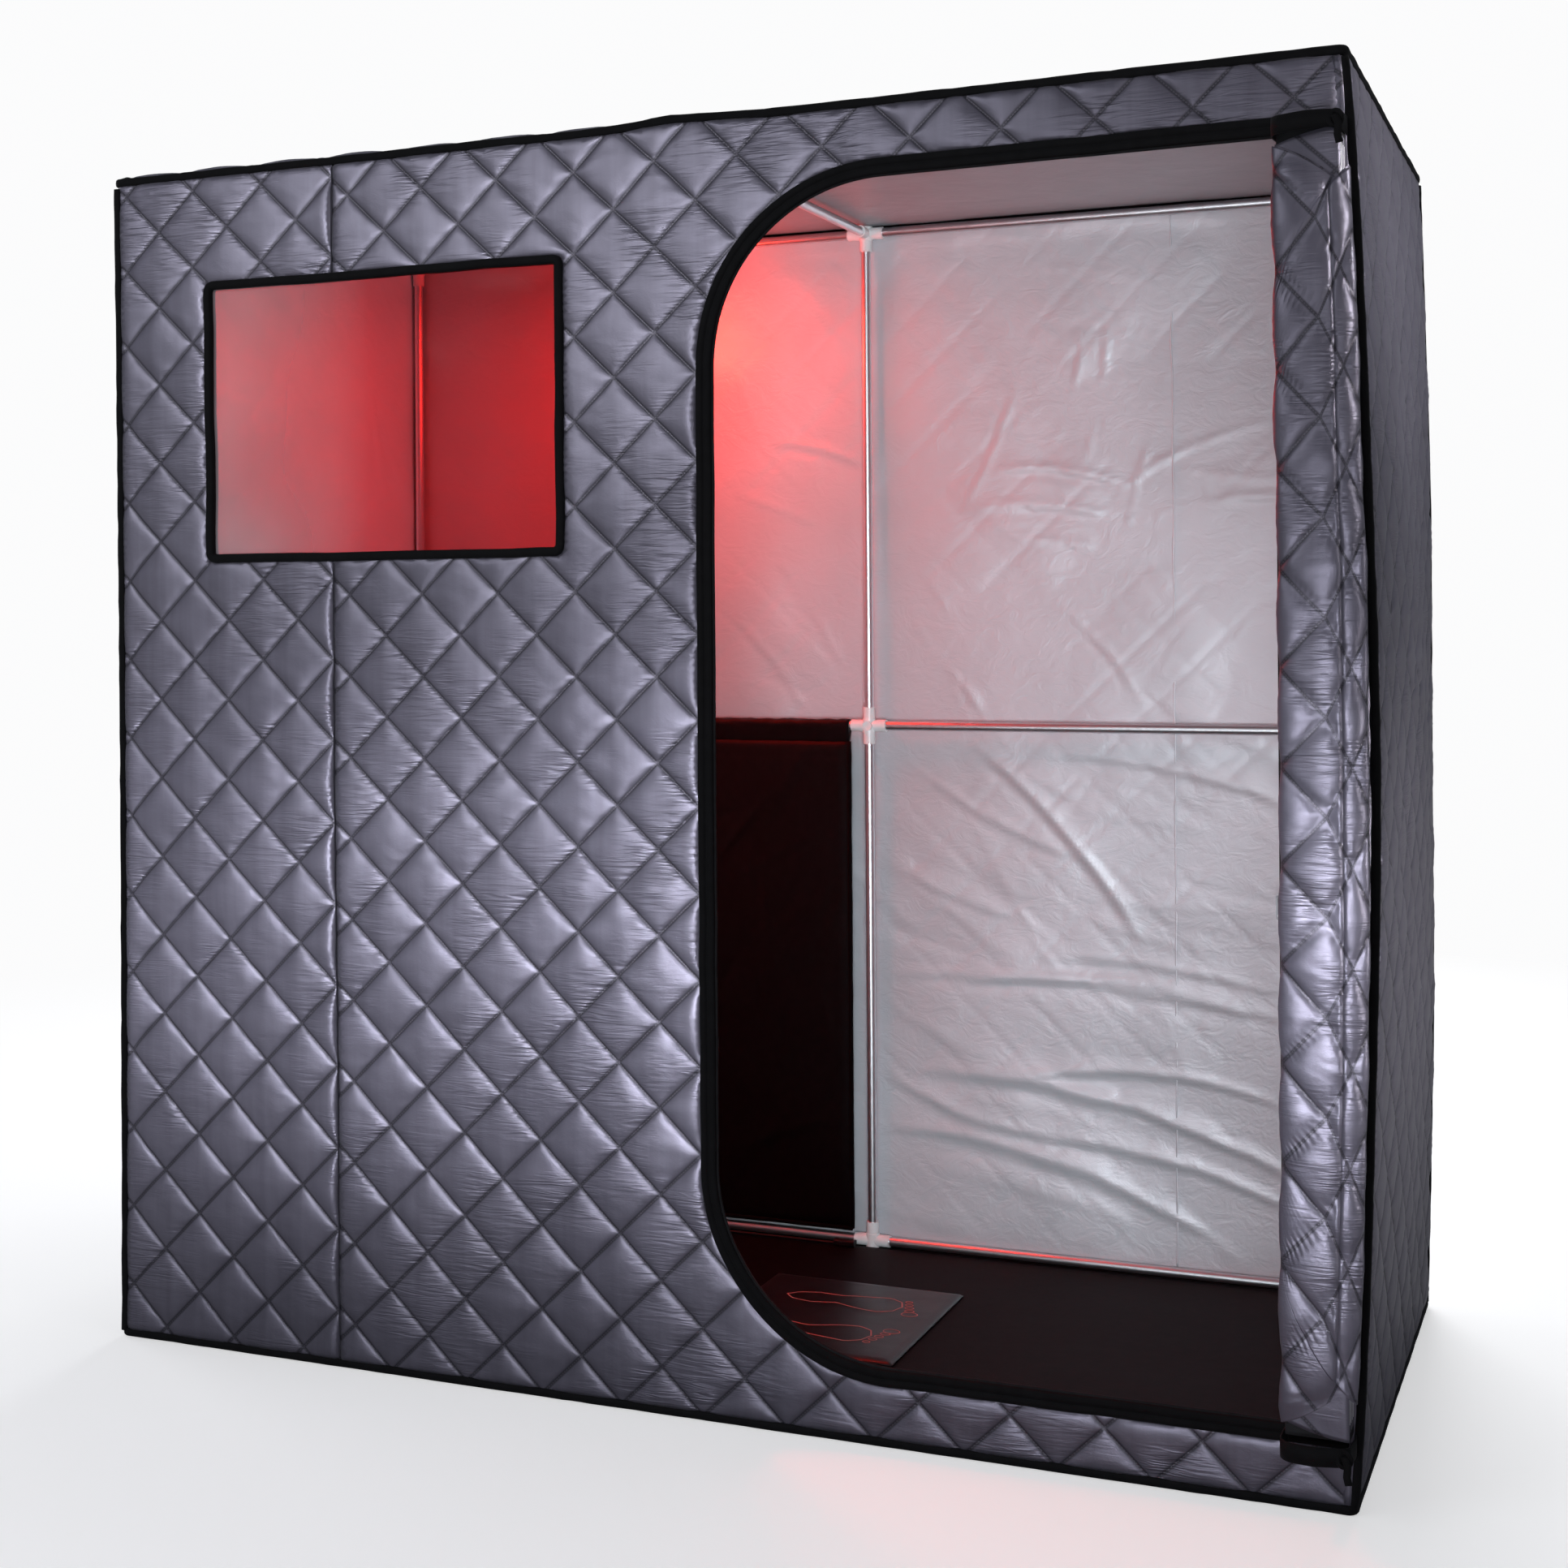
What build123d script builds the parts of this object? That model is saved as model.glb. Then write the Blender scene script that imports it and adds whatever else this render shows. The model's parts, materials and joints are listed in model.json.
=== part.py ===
from build123d import *
import math
import os

# Portable sauna cabin: a quilted fabric cover over a plug-together tube frame.
# Origin on the ground under the middle of the cabin, +X to the right seen from
# the door side, +Y to the back, +Z up. Millimetres.

# ---- overall, outside of the cover ----
WIDTH = 1866.0
DEPTH = 870.0
HEIGHT = 1800.0
HALF_W, HALF_D = WIDTH / 2, DEPTH / 2

# ---- cover ----
QUILT = 8.0             # padded quilt thickness
LINING = 1.5            # reflective lining sheet
EDGE = 12.0             # square section of the edge binding
LINING_IN = 9.2         # outer cover face to outer lining face
COVER_T = LINING_IN + LINING
GAP = 0.2               # sewn gap between neighbouring fabric pieces
PANEL_W = WIDTH - 2 * (EDGE + GAP)
PANEL_D = DEPTH - 2 * (EDGE + GAP)
PANEL_H = HEIGHT - 2 * (EDGE + GAP)
PANEL_Z = HEIGHT / 2    # middle of the upright panels
OVERRUN = 5.0           # how far cutting outlines pass the panel edge

# ---- frame tubes ----
TUBE_R = 8.0
TUBE_WALL = 1.0
INSET = 24.0            # tube centre lines inside the cover
STOP = 10.0             # connector centre to tube end
POST_X, POST_Y = HALF_W - INSET, HALF_D - INSET
Z_LOW, Z_WAIST, Z_HIGH = 16.0, 916.0, HEIGHT - INSET

# ---- clips round the waist rails ----
CLIP_R = 11.0
CLIP_BORE = 8.4

# ---- floor layers ----
FLOOR_SHEET_T = 3.0
FLOOR_MAT_T = 4.8
FLOOR_MAT_TOP = FLOOR_SHEET_T + GAP + FLOOR_MAT_T

os.makedirs("parts", exist_ok=True)


def save(shape, label):
    shape.label = label
    export_step(shape, f"parts/{label}.step")


def facing_front(y):
    """Plane at y with its normal to the front: local x = +X, local y = +Z."""
    return Plane(origin=(0, y, 0), x_dir=(1, 0, 0), z_dir=(0, -1, 0))


def save_sheet(label, plane, size, thickness, centre=(0, 0), corner_radius=None):
    """A flat sheet, saved as its own piece."""
    with BuildPart() as sheet:
        with BuildSketch(plane):
            with Locations(centre):
                if corner_radius:
                    RectangleRounded(*size, corner_radius)
                else:
                    Rectangle(*size)
        extrude(amount=thickness)
    save(sheet.part, label)


def one_side_rounded(rounded_x, straight_x, bottom, top, radius):
    """Closed outline with arcs at the two corners on rounded_x, for the current BuildLine."""
    inward = math.copysign(radius, straight_x - rounded_x)
    diagonal = math.sqrt(0.5)
    arc_x = rounded_x + inward
    arc_low, arc_high = bottom + radius, top - radius
    mid_x = arc_x - inward * diagonal
    Polyline((arc_x, bottom), (straight_x, bottom), (straight_x, top), (arc_x, top))
    ThreePointArc((arc_x, top), (mid_x, arc_high + radius * diagonal), (rounded_x, arc_high))
    Line((rounded_x, arc_high), (rounded_x, arc_low))
    ThreePointArc((rounded_x, arc_low), (mid_x, arc_low - radius * diagonal), (arc_x, bottom))


# ------------------------------------------------------------------ frame tubes
def tube_profile():
    """Ring profile of a frame tube, for the current sketch."""
    Circle(TUBE_R)
    Circle(TUBE_R - TUBE_WALL, mode=Mode.SUBTRACT)


def save_posts(label, z_from, z_to):
    """Six posts between two levels of connectors."""
    with BuildPart() as posts:
        with BuildSketch(Plane.XY.offset(z_from + STOP)):
            with Locations(*[(x, y) for x in (-POST_X, 0.0, POST_X) for y in (-POST_Y, POST_Y)]):
                tube_profile()
        extrude(amount=z_to - z_from - 2 * STOP)
    save(posts.part, label)


def save_rails(label, z, bays=(), cross_x=()):
    """Rails at one level. bays: left end and the y places of rails half the frame long;
    cross_x: x places of the front-to-back rails."""
    with BuildPart() as rails:
        for left_x, rail_ys in bays:
            with BuildSketch(Plane.YZ.offset(left_x + STOP)):
                with Locations(*[(y, z) for y in rail_ys]):
                    tube_profile()
            extrude(amount=POST_X - 2 * STOP)
        if cross_x:
            with BuildSketch(facing_front(POST_Y - STOP)):
                with Locations(*[(x, z) for x in cross_x]):
                    tube_profile()
            extrude(amount=2 * (POST_Y - STOP))
    save(rails.part, label)


BOTH_Y = (-POST_Y, POST_Y)
ALL_BAYS = [(-POST_X, BOTH_Y), (0.0, BOTH_Y)]
ENDS_X = (-POST_X, POST_X)

save_posts("lower_posts", Z_LOW, Z_WAIST)
save_posts("upper_posts", Z_WAIST, Z_HIGH)
save_rails("roof_long_rails", Z_HIGH, bays=ALL_BAYS)
save_rails("roof_short_rails", Z_HIGH, cross_x=(-POST_X, 0, POST_X))
save_rails("floor_rails", Z_LOW, bays=ALL_BAYS, cross_x=ENDS_X)
# the doorway leaves out the right front waist rail
save_rails("waist_rails", Z_WAIST, bays=[(-POST_X, BOTH_Y), (0.0, (POST_Y,))], cross_x=ENDS_X)

# ------------------------------------------------------------------ plastic connectors
SOCKET_R = 10.5
SOCKET_BORE = 8.1
ARM = 32.0              # connector centre to socket mouth
HUB_R, HUB_H = 12.0, 24.0
BOSS_R, BOSS_LEN = 9.0, 15.0
BOSS_BORE, BOSS_BORE_START = 6.5, 12.5

UP, DOWN = (0, 0, 1), (0, 0, -1)
LEFT, RIGHT, FRONT, BACK = (-1, 0, 0), (1, 0, 0), (0, -1, 0), (0, 1, 0)


def along(centre, direction, distance):
    return tuple(c + distance * d for c, d in zip(centre, direction))


def save_connectors(label, items, bosses=()):
    """Arms round the tube ends, a hub at each centre, then the sockets cut out."""
    with BuildPart() as connectors:
        for centre, directions in items:
            for direction in directions:
                with BuildSketch(Plane(origin=centre, z_dir=direction)):
                    Circle(SOCKET_R)
                extrude(amount=ARM)
            with Locations(centre):
                Cylinder(HUB_R, HUB_H)
        for centre, direction in bosses:
            with BuildSketch(Plane(origin=centre, z_dir=direction)):
                Circle(BOSS_R)
            extrude(amount=BOSS_LEN)
            bore_start = along(centre, direction, BOSS_BORE_START)
            with BuildSketch(Plane(origin=bore_start, z_dir=direction)):
                Circle(BOSS_BORE)
            extrude(amount=4.0, mode=Mode.SUBTRACT)
        for centre, directions in items:
            for direction in directions:
                socket_start = along(centre, direction, STOP - 0.2)
                with BuildSketch(Plane(origin=socket_start, z_dir=direction)):
                    Circle(SOCKET_BORE)
                extrude(amount=ARM, mode=Mode.SUBTRACT)
    save(connectors.part, label)


CORNERS = [(side_x, side_y) for side_x in (-1, 1) for side_y in (-1, 1)]
INWARD_X = {-1: RIGHT, 1: LEFT}
INWARD_Y = {-1: BACK, 1: FRONT}

for label, z, upright in (("roof_corner_connectors", Z_HIGH, DOWN),
                          ("floor_corner_connectors", Z_LOW, UP)):
    save_connectors(label, [
        ((sx * POST_X, sy * POST_Y, z), [upright, INWARD_X[sx], INWARD_Y[sy]])
        for sx, sy in CORNERS])
# the right front corner has no waist rail along X
save_connectors("waist_corner_connectors", [
    ((sx * POST_X, sy * POST_Y, Z_WAIST),
     [UP, DOWN, INWARD_Y[sy]] + ([INWARD_X[sx]] if (sx, sy) != (1, -1) else []))
    for sx, sy in CORNERS])
save_connectors("roof_centre_connectors", [
    ((0, sy * POST_Y, Z_HIGH), [DOWN, LEFT, RIGHT, INWARD_Y[sy]]) for sy in (-1, 1)])
save_connectors("floor_centre_connectors", [
    ((0, sy * POST_Y, Z_LOW), [UP, LEFT, RIGHT]) for sy in (-1, 1)])
FRONT_WAIST, BACK_WAIST = (0, -POST_Y, Z_WAIST), (0, POST_Y, Z_WAIST)
save_connectors("waist_centre_connectors",
                [(FRONT_WAIST, [UP, DOWN, LEFT]), (BACK_WAIST, [UP, DOWN, LEFT, RIGHT])],
                bosses=[(FRONT_WAIST, BACK), (BACK_WAIST, FRONT)])

# ------------------------------------------------------------------ front of the cover
DOOR_X = 79.0           # clear edge of the doorway on its left
DOOR_Z0, DOOR_Z1 = 104.0, 1696.0
DOOR_R = 250.0
DOOR_TAPE = 22.0
WIN_X0, WIN_X1 = -748.0, -159.0
WIN_Z0, WIN_Z1 = 1206.0, 1611.0
WIN_TAPE = 12.0
WIN_TAPE_R = 12.0       # outer corner radius of the window tape
WIN_CENTRE = ((WIN_X0 + WIN_X1) / 2, (WIN_Z0 + WIN_Z1) / 2)
WIN_W, WIN_H = WIN_X1 - WIN_X0, WIN_Z1 - WIN_Z0


def doorway_outline(grow, right):
    """Doorway edge, grown outward: square on the right, large radii on the left."""
    one_side_rounded(DOOR_X - grow, right, DOOR_Z0 - grow, DOOR_Z1 + grow, DOOR_R + grow)


def save_front_sheet(label, y, thickness):
    """Front panel or lining with the window and doorway cut out."""
    window_grow = 2 * (WIN_TAPE + GAP)
    with BuildPart() as front_sheet:
        with BuildSketch(facing_front(y)):
            with Locations((0, PANEL_Z)):
                Rectangle(PANEL_W, PANEL_H)
            with Locations(WIN_CENTRE):
                RectangleRounded(WIN_W + window_grow, WIN_H + window_grow, WIN_TAPE_R,
                                 mode=Mode.SUBTRACT)
            with BuildLine():
                doorway_outline(DOOR_TAPE + GAP, PANEL_W / 2 + OVERRUN)
            make_face(mode=Mode.SUBTRACT)
        extrude(amount=-thickness)
    save(front_sheet.part, label)


save_front_sheet("front_panel", -HALF_D, QUILT)
save_front_sheet("front_lining", -HALF_D + LINING_IN, LINING)

# ------------------------------------------------------------------ back, sides, roof, floor
PORT_CENTRE = (-300.0, 70.0)    # y, z of the cable port in the left side
PORT_CUT_R = 26.0


def save_side_sheets(label, sheets, thickness):
    """Side panels or linings; sheets: left face x, and whether the port is cut."""
    with BuildPart() as side_sheets:
        for x, has_port in sheets:
            with BuildSketch(Plane.YZ.offset(x)):
                with Locations((0, PANEL_Z)):
                    Rectangle(PANEL_D, PANEL_H)
                if has_port:
                    with Locations(PORT_CENTRE):
                        Circle(PORT_CUT_R, mode=Mode.SUBTRACT)
            extrude(amount=thickness)
    save(side_sheets.part, label)


save_sheet("back_panel", facing_front(HALF_D), (PANEL_W, PANEL_H), QUILT, (0, PANEL_Z))
save_sheet("back_lining", facing_front(HALF_D - LINING_IN), (PANEL_W, PANEL_H), LINING,
           (0, PANEL_Z))
save_side_sheets("left_panel", [(-HALF_W, True)], QUILT)
save_side_sheets("right_panel", [(HALF_W - QUILT, False)], QUILT)
save_side_sheets("side_linings", [(-HALF_W + LINING_IN, True), (HALF_W - COVER_T, False)], LINING)
save_sheet("roof_panel", Plane.XY.offset(HEIGHT - QUILT), (PANEL_W, PANEL_D), QUILT)
save_sheet("roof_lining", Plane.XY.offset(HEIGHT - COVER_T), (PANEL_W, PANEL_D), LINING)
save_sheet("floor_sheet", Plane.XY, (PANEL_W, PANEL_D), FLOOR_SHEET_T)
save_sheet("floor_mat", Plane.XY.offset(FLOOR_SHEET_T + GAP), (1788.0, 792.0), FLOOR_MAT_T,
           corner_radius=10)

# ------------------------------------------------------------------ edge bindings
for label, z in (("roof_edge_binding", HEIGHT - EDGE), ("floor_edge_binding", 0.0)):
    with BuildPart() as edge_ring:
        with BuildSketch(Plane.XY.offset(z)):
            Rectangle(WIDTH, DEPTH)
            Rectangle(WIDTH - 2 * EDGE, DEPTH - 2 * EDGE, mode=Mode.SUBTRACT)
        extrude(amount=EDGE)
    save(edge_ring.part, label)

with BuildPart() as corner_edge_bindings:
    with BuildSketch(Plane.XY.offset(EDGE + GAP)):
        with GridLocations(WIDTH - EDGE, DEPTH - EDGE, 2, 2):
            Rectangle(EDGE, EDGE)
    extrude(amount=PANEL_H)
save(corner_edge_bindings.part, "corner_edge_bindings")

# ------------------------------------------------------------------ window
PANE_Y = -HALF_D + 4.5          # front face of the pane
PANE_T = 1.0
PANE_LAP = 12.0                 # added to the opening's width and height
SLOT_CLEAR = 0.1                # slot clearance in depth, each side
SLOT_LAP = PANE_LAP + 0.4

with BuildPart() as window_binding:
    with BuildSketch(facing_front(-HALF_D)):
        with Locations(WIN_CENTRE):
            RectangleRounded(WIN_W + 2 * WIN_TAPE, WIN_H + 2 * WIN_TAPE, WIN_TAPE_R)
            Rectangle(WIN_W, WIN_H, mode=Mode.SUBTRACT)
    extrude(amount=-COVER_T)
    # slot that holds the pane
    with BuildSketch(facing_front(PANE_Y - SLOT_CLEAR)):
        with Locations(WIN_CENTRE):
            Rectangle(WIN_W + SLOT_LAP, WIN_H + SLOT_LAP)
    extrude(amount=-(PANE_T + 2 * SLOT_CLEAR), mode=Mode.SUBTRACT)
save(window_binding.part, "window_binding")

save_sheet("window_pane", facing_front(PANE_Y), (WIN_W + PANE_LAP, WIN_H + PANE_LAP), -PANE_T,
           WIN_CENTRE)


# ------------------------------------------------------------------ doorway tape and zip coil
def save_doorway_trim(label, y, outer_grow, inner_grow, depth):
    """Band along the doorway edge, open on the right; depth runs to the back."""
    with BuildPart() as trim:
        with BuildSketch(facing_front(y)):
            with BuildLine():
                doorway_outline(outer_grow, PANEL_W / 2)
            make_face()
            with BuildLine():
                doorway_outline(inner_grow, PANEL_W / 2 + OVERRUN)
            make_face(mode=Mode.SUBTRACT)
        extrude(amount=-depth)
    save(trim.part, label)


save_doorway_trim("doorway_binding", -HALF_D, outer_grow=DOOR_TAPE, inner_grow=0.0, depth=COVER_T)
save_doorway_trim("doorway_zip_coil", -HALF_D + 3.0, outer_grow=-0.1, inner_grow=-3.0, depth=2.4)

# ------------------------------------------------------------------ cable port
PORT_R = 20.0
PORT_NECK_R = PORT_CUT_R - 0.2
PORT_FLANGE_R = 32.0
PORT_LEN = 15.0
PORT_X0 = -HALF_W - 1.8                     # outer end
PORT_INNER_X = -HALF_W + COVER_T + 0.3      # start of the inner flange

with BuildPart() as cable_port_grommet:
    # outer flange, neck and inner flange: start x, length, radius
    for start_x, length, radius in (
            (PORT_X0, 1.6, PORT_FLANGE_R),
            (PORT_X0, PORT_LEN, PORT_NECK_R),
            (PORT_INNER_X, PORT_X0 + PORT_LEN - PORT_INNER_X, PORT_FLANGE_R)):
        with BuildSketch(Plane.YZ.offset(start_x)):
            with Locations(PORT_CENTRE):
                Circle(radius)
        extrude(amount=length)
    with BuildSketch(Plane.YZ.offset(-HALF_W - 3.0)):
        with Locations(PORT_CENTRE):
            Circle(PORT_R)
    extrude(amount=20.0, mode=Mode.SUBTRACT)
save(cable_port_grommet.part, "cable_port_grommet")

# ------------------------------------------------------------------ folding door flap
# Fold 1 is sewn to the front right corner, each next fold lies in front of the last one.
# Odd folds keep the closed door's direction; even folds are turned over.
FOLDS = 11
FOLD_W = 77.4
FOLD_T = 4.8
FOLD_PITCH = 5.2
FOLD_GAP = 0.6          # taken off the width of each fold
FLAP_X = 931.0          # sewn edge of the flap
FLAP_Z0, FLAP_Z1 = 106.0, 1684.0
FLAP_Y = -HALF_D - 0.4  # back face of the closed flap
FLAP_R = 249.5
FLAP_FREE = FLAP_X - FOLDS * FOLD_W
STACK_X = FLAP_X - FOLD_W / 2   # middle of the folded stack

for n in range(1, FOLDS + 1):
    # shift the closed outline so that this fold lands on the stack
    shift = FOLD_W * (n - 1)
    rounded_x, straight_x = FLAP_FREE + shift, FLAP_X + shift
    if n % 2 == 0:
        rounded_x, straight_x = 2 * STACK_X - rounded_x, 2 * STACK_X - straight_x
    with BuildPart() as door_fold:
        with BuildSketch(facing_front(FLAP_Y - FOLD_PITCH * (n - 1))):
            with BuildLine():
                one_side_rounded(rounded_x, straight_x, FLAP_Z0, FLAP_Z1, FLAP_R)
            make_face()
            with Locations((STACK_X, (FLAP_Z0 + FLAP_Z1) / 2)):
                Rectangle(FOLD_W - FOLD_GAP, FLAP_Z1 - FLAP_Z0 + 10, mode=Mode.INTERSECT)
        extrude(amount=FOLD_T)
    save(door_fold.part, f"door_fold_{n:02d}")

# ------------------------------------------------------------------ zip slider and pull tab
STACK_FRONT = FLAP_Y - FOLD_PITCH * (FOLDS - 1) - FOLD_T    # front face of the last fold
STACK_LEFT = FLAP_X - FOLD_W                                # its free edge
SLIDER_X = STACK_LEFT + 1.0
SLIDER_Z = 757.0
EYE_CENTRE = (STACK_FRONT - 4.6, SLIDER_Z + 3.0)            # y, z
EYE_R, EYE_BORE, EYE_W = 2.4, 1.15, 2.4
PIN_R, PIN_LEN = 1.05, 4.4

with BuildPart() as zip_slider:
    with BuildSketch(facing_front(STACK_FRONT - 0.5)):
        with Locations((SLIDER_X, SLIDER_Z)):
            RectangleRounded(9.0, 14.0, 2.5)
    extrude(amount=2.6)
    with BuildSketch(Plane.YZ.offset(SLIDER_X - EYE_W / 2)):
        with Locations(EYE_CENTRE):
            Circle(EYE_R)
            Circle(EYE_BORE, mode=Mode.SUBTRACT)
    extrude(amount=EYE_W)
save(zip_slider.part, "zip_slider")

with BuildPart() as zip_pull:
    with BuildSketch(facing_front(STACK_FRONT - 5.4)):
        with Locations((SLIDER_X, SLIDER_Z - 9.0)):
            RectangleRounded(7.0, 26.0, 2.0)
        with Locations((SLIDER_X, SLIDER_Z + 1.0)):
            Rectangle(3.2, 8.4, mode=Mode.SUBTRACT)
        with Locations((SLIDER_X, SLIDER_Z - 17.0)):
            Circle(1.8, mode=Mode.SUBTRACT)
    extrude(amount=1.6)
    # pin through the slider's eye
    with BuildSketch(Plane.YZ.offset(SLIDER_X - PIN_LEN / 2)):
        with Locations(EYE_CENTRE):
            Circle(PIN_R)
    extrude(amount=PIN_LEN)
save(zip_pull.part, "zip_pull")

# ------------------------------------------------------------------ tie straps
STRAP_T = 2.0
STRAP_RIGHT = 934.0
STRAP_LEFT = STACK_LEFT - 5.5
STRAP_FRONT = STACK_FRONT - 4.4
STRAP_ROOT_Y = -HALF_D - 1.0    # right end, beside the cover
STRAP_HOOK_Y = -HALF_D - 6.0    # left end


def save_tie_strap(label, z, height):
    """Strap hooked round one end of the folded flap."""
    with BuildPart() as strap:
        with BuildSketch(Plane.XY.offset(z)):
            with BuildLine():
                Polyline((STRAP_RIGHT, STRAP_ROOT_Y),
                         (STRAP_RIGHT, STRAP_FRONT),
                         (STRAP_LEFT, STRAP_FRONT),
                         (STRAP_LEFT, STRAP_HOOK_Y),
                         (STRAP_LEFT + STRAP_T, STRAP_HOOK_Y),
                         (STRAP_LEFT + STRAP_T, STRAP_FRONT + STRAP_T),
                         (STRAP_RIGHT - STRAP_T, STRAP_FRONT + STRAP_T),
                         (STRAP_RIGHT - STRAP_T, STRAP_ROOT_Y), close=True)
            make_face()
        extrude(amount=height)
    save(strap.part, label)


save_tie_strap("upper_tie_strap", FLAP_Z1 + 2.0, 22.0)
save_tie_strap("lower_tie_strap", 80.0, 24.0)

# ------------------------------------------------------------------ heating panel, back waist rail
HEAT_X0, HEAT_X1 = -874.0, -36.0
HEAT_Z0, HEAT_Z1 = 34.0, 888.0
HEAT_Y0, HEAT_Y1 = 399.0, 411.0
HEAT_W, HEAT_H = HEAT_X1 - HEAT_X0, HEAT_Z1 - HEAT_Z0
HEAT_CENTRE = ((HEAT_X0 + HEAT_X1) / 2, (HEAT_Z0 + HEAT_Z1) / 2)
POCKET_MARGIN = 30.0            # cover edge to the film pocket
FILM_MARGIN = 31.0              # cover edge to the film

with BuildPart() as heater_cover:
    with BuildSketch(facing_front(HEAT_Y1)):
        with Locations(HEAT_CENTRE):
            RectangleRounded(HEAT_W, HEAT_H, 8)
    extrude(amount=HEAT_Y1 - HEAT_Y0)
    # closed pocket for the film
    with BuildSketch(facing_front(HEAT_Y1 - 5.0)):
        with Locations(HEAT_CENTRE):
            Rectangle(HEAT_W - 2 * POCKET_MARGIN, HEAT_H - 2 * POCKET_MARGIN)
    extrude(amount=2.0, mode=Mode.SUBTRACT)
save(heater_cover.part, "heater_cover")

save_sheet("heater_film", facing_front(HEAT_Y1 - 5.5),
           (HEAT_W - 2 * FILM_MARGIN, HEAT_H - 2 * FILM_MARGIN), 1.0, HEAT_CENTRE)

with BuildPart() as heater_sleeve:
    with BuildSketch(Plane.YZ.offset(HEAT_X0)):
        with Locations((POST_Y, Z_WAIST)):
            Circle(CLIP_R)
        with Locations((POST_Y - 4.5, Z_WAIST - 19.0)):
            Rectangle(9.0, 18.0)
        with Locations((POST_Y, Z_WAIST)):
            Circle(CLIP_BORE, mode=Mode.SUBTRACT)
    extrude(amount=HEAT_W)
save(heater_sleeve.part, "heater_sleeve")

# ------------------------------------------------------------------ foot warmer
FOOT_X0, FOOT_X1 = -88.0, 236.0
FOOT_Y0, FOOT_Y1 = -163.0, 186.0
FOOT_LEAD_R = 2.4
FOOT_LEAD_X = FOOT_X0 - 16      # start of the lead, inside its strain relief
FOOT_LEAD_Y = 60
FOOT_LEAD_Z = 11.6
FOOT_TURN_X = -260
FOOT_END_X, FOOT_END_Y = -420, -120

save_sheet("foot_mat", Plane.XY.offset(FLOOR_MAT_TOP + 0.4),
           (FOOT_X1 - FOOT_X0, FOOT_Y1 - FOOT_Y0), 6.0,
           ((FOOT_X0 + FOOT_X1) / 2, (FOOT_Y0 + FOOT_Y1) / 2), corner_radius=14)

with BuildPart() as foot_mat_lead:
    # strain relief at the mat
    with BuildSketch(Plane.YZ.offset(FOOT_X0 - 0.3)):
        with Locations((FOOT_LEAD_Y, FOOT_LEAD_Z + 0.4)):
            RectangleRounded(14.0, 6.4, 2.0)
    extrude(amount=-18.0)
    with BuildLine() as foot_path:
        foot_run = Polyline((FOOT_LEAD_X, FOOT_LEAD_Y, FOOT_LEAD_Z),
                            (FOOT_TURN_X, FOOT_LEAD_Y, FOOT_LEAD_Z),
                            (FOOT_TURN_X, FOOT_END_Y, FOOT_LEAD_Z),
                            (FOOT_END_X, FOOT_END_Y, FOOT_LEAD_Z))
        fillet(foot_run.vertices(), 40)
    with BuildSketch(Plane(origin=(FOOT_LEAD_X, FOOT_LEAD_Y, FOOT_LEAD_Z), z_dir=LEFT)):
        Circle(FOOT_LEAD_R)
    sweep(path=foot_path.wire())
    # rounded block on the free end
    with BuildSketch(Plane.YZ.offset(FOOT_END_X + 5.0)):
        with Locations((FOOT_END_Y, FOOT_LEAD_Z + 2.0)):
            RectangleRounded(10.0, 9.6, 3.0)
    extrude(amount=-34.0)
save(foot_mat_lead.part, "foot_mat_lead")

# ------------------------------------------------------------------ ceiling lamp
LAMP_X, LAMP_Z = -400.0, 1740.0     # pivot axis of the housing
LAMP_HALF_Y = 105.0
LAMP_BOTTOM = LAMP_Z - 16.0
LAMP_LEN = 2 * LAMP_HALF_Y
HANGER_Z = Z_HIGH + TUBE_R + 0.4    # underside of the band over the roof rails
HANGER_W = 25.0
TAB_W, TAB_T = 20.0, 4.0

with BuildPart() as lamp_hanger:
    with BuildSketch(Plane.XY.offset(HANGER_Z)):
        with Locations((LAMP_X, 0)):
            Rectangle(HANGER_W, 2 * POST_Y)
    extrude(amount=1.4)
    # loops round the front and back roof rails
    with BuildSketch(Plane.YZ.offset(LAMP_X - HANGER_W / 2)):
        with Locations((-POST_Y, Z_HIGH), (POST_Y, Z_HIGH)):
            Circle(9.8)
    extrude(amount=HANGER_W)
    with BuildSketch(Plane.YZ.offset(LAMP_X - 20.0)):
        with Locations((-POST_Y, Z_HIGH), (POST_Y, Z_HIGH)):
            Circle(8.3)
    extrude(amount=40.0, mode=Mode.SUBTRACT)
    # tabs down to the pivots
    for side in (-1, 1):
        with BuildSketch(facing_front(side * (LAMP_HALF_Y + 3.0) + TAB_T / 2)):
            with Locations((LAMP_X, (HANGER_Z + LAMP_Z) / 2)):
                Rectangle(TAB_W, HANGER_Z - LAMP_Z + 1.0)
            with Locations((LAMP_X, LAMP_Z)):
                Circle(TAB_W / 2)
                Circle(4.0, mode=Mode.SUBTRACT)
        extrude(amount=TAB_T)
save(lamp_hanger.part, "lamp_hanger")

with BuildPart() as lamp_housing:
    with BuildSketch(Plane.XY.offset(LAMP_BOTTOM)):
        with Locations((LAMP_X, 0)):
            RectangleRounded(108.0, LAMP_LEN - 1.0, 12)
    extrude(amount=28.0)
    fillet(lamp_housing.faces().sort_by(Axis.Z)[-1].edges(), 5)
    # hollow, open below
    with BuildSketch(Plane.XY.offset(LAMP_BOTTOM - 1.0)):
        with Locations((LAMP_X, 0)):
            RectangleRounded(98.0, LAMP_LEN - 11.0, 8)
    extrude(amount=20.0, mode=Mode.SUBTRACT)
    # pivot pins
    for side in (-1, 1):
        pin_start = (LAMP_X, side * (LAMP_HALF_Y - 2.0), LAMP_Z)
        with BuildSketch(Plane(origin=pin_start, z_dir=(0, side, 0))):
            Circle(3.95)
        extrude(amount=9.0)
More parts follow.
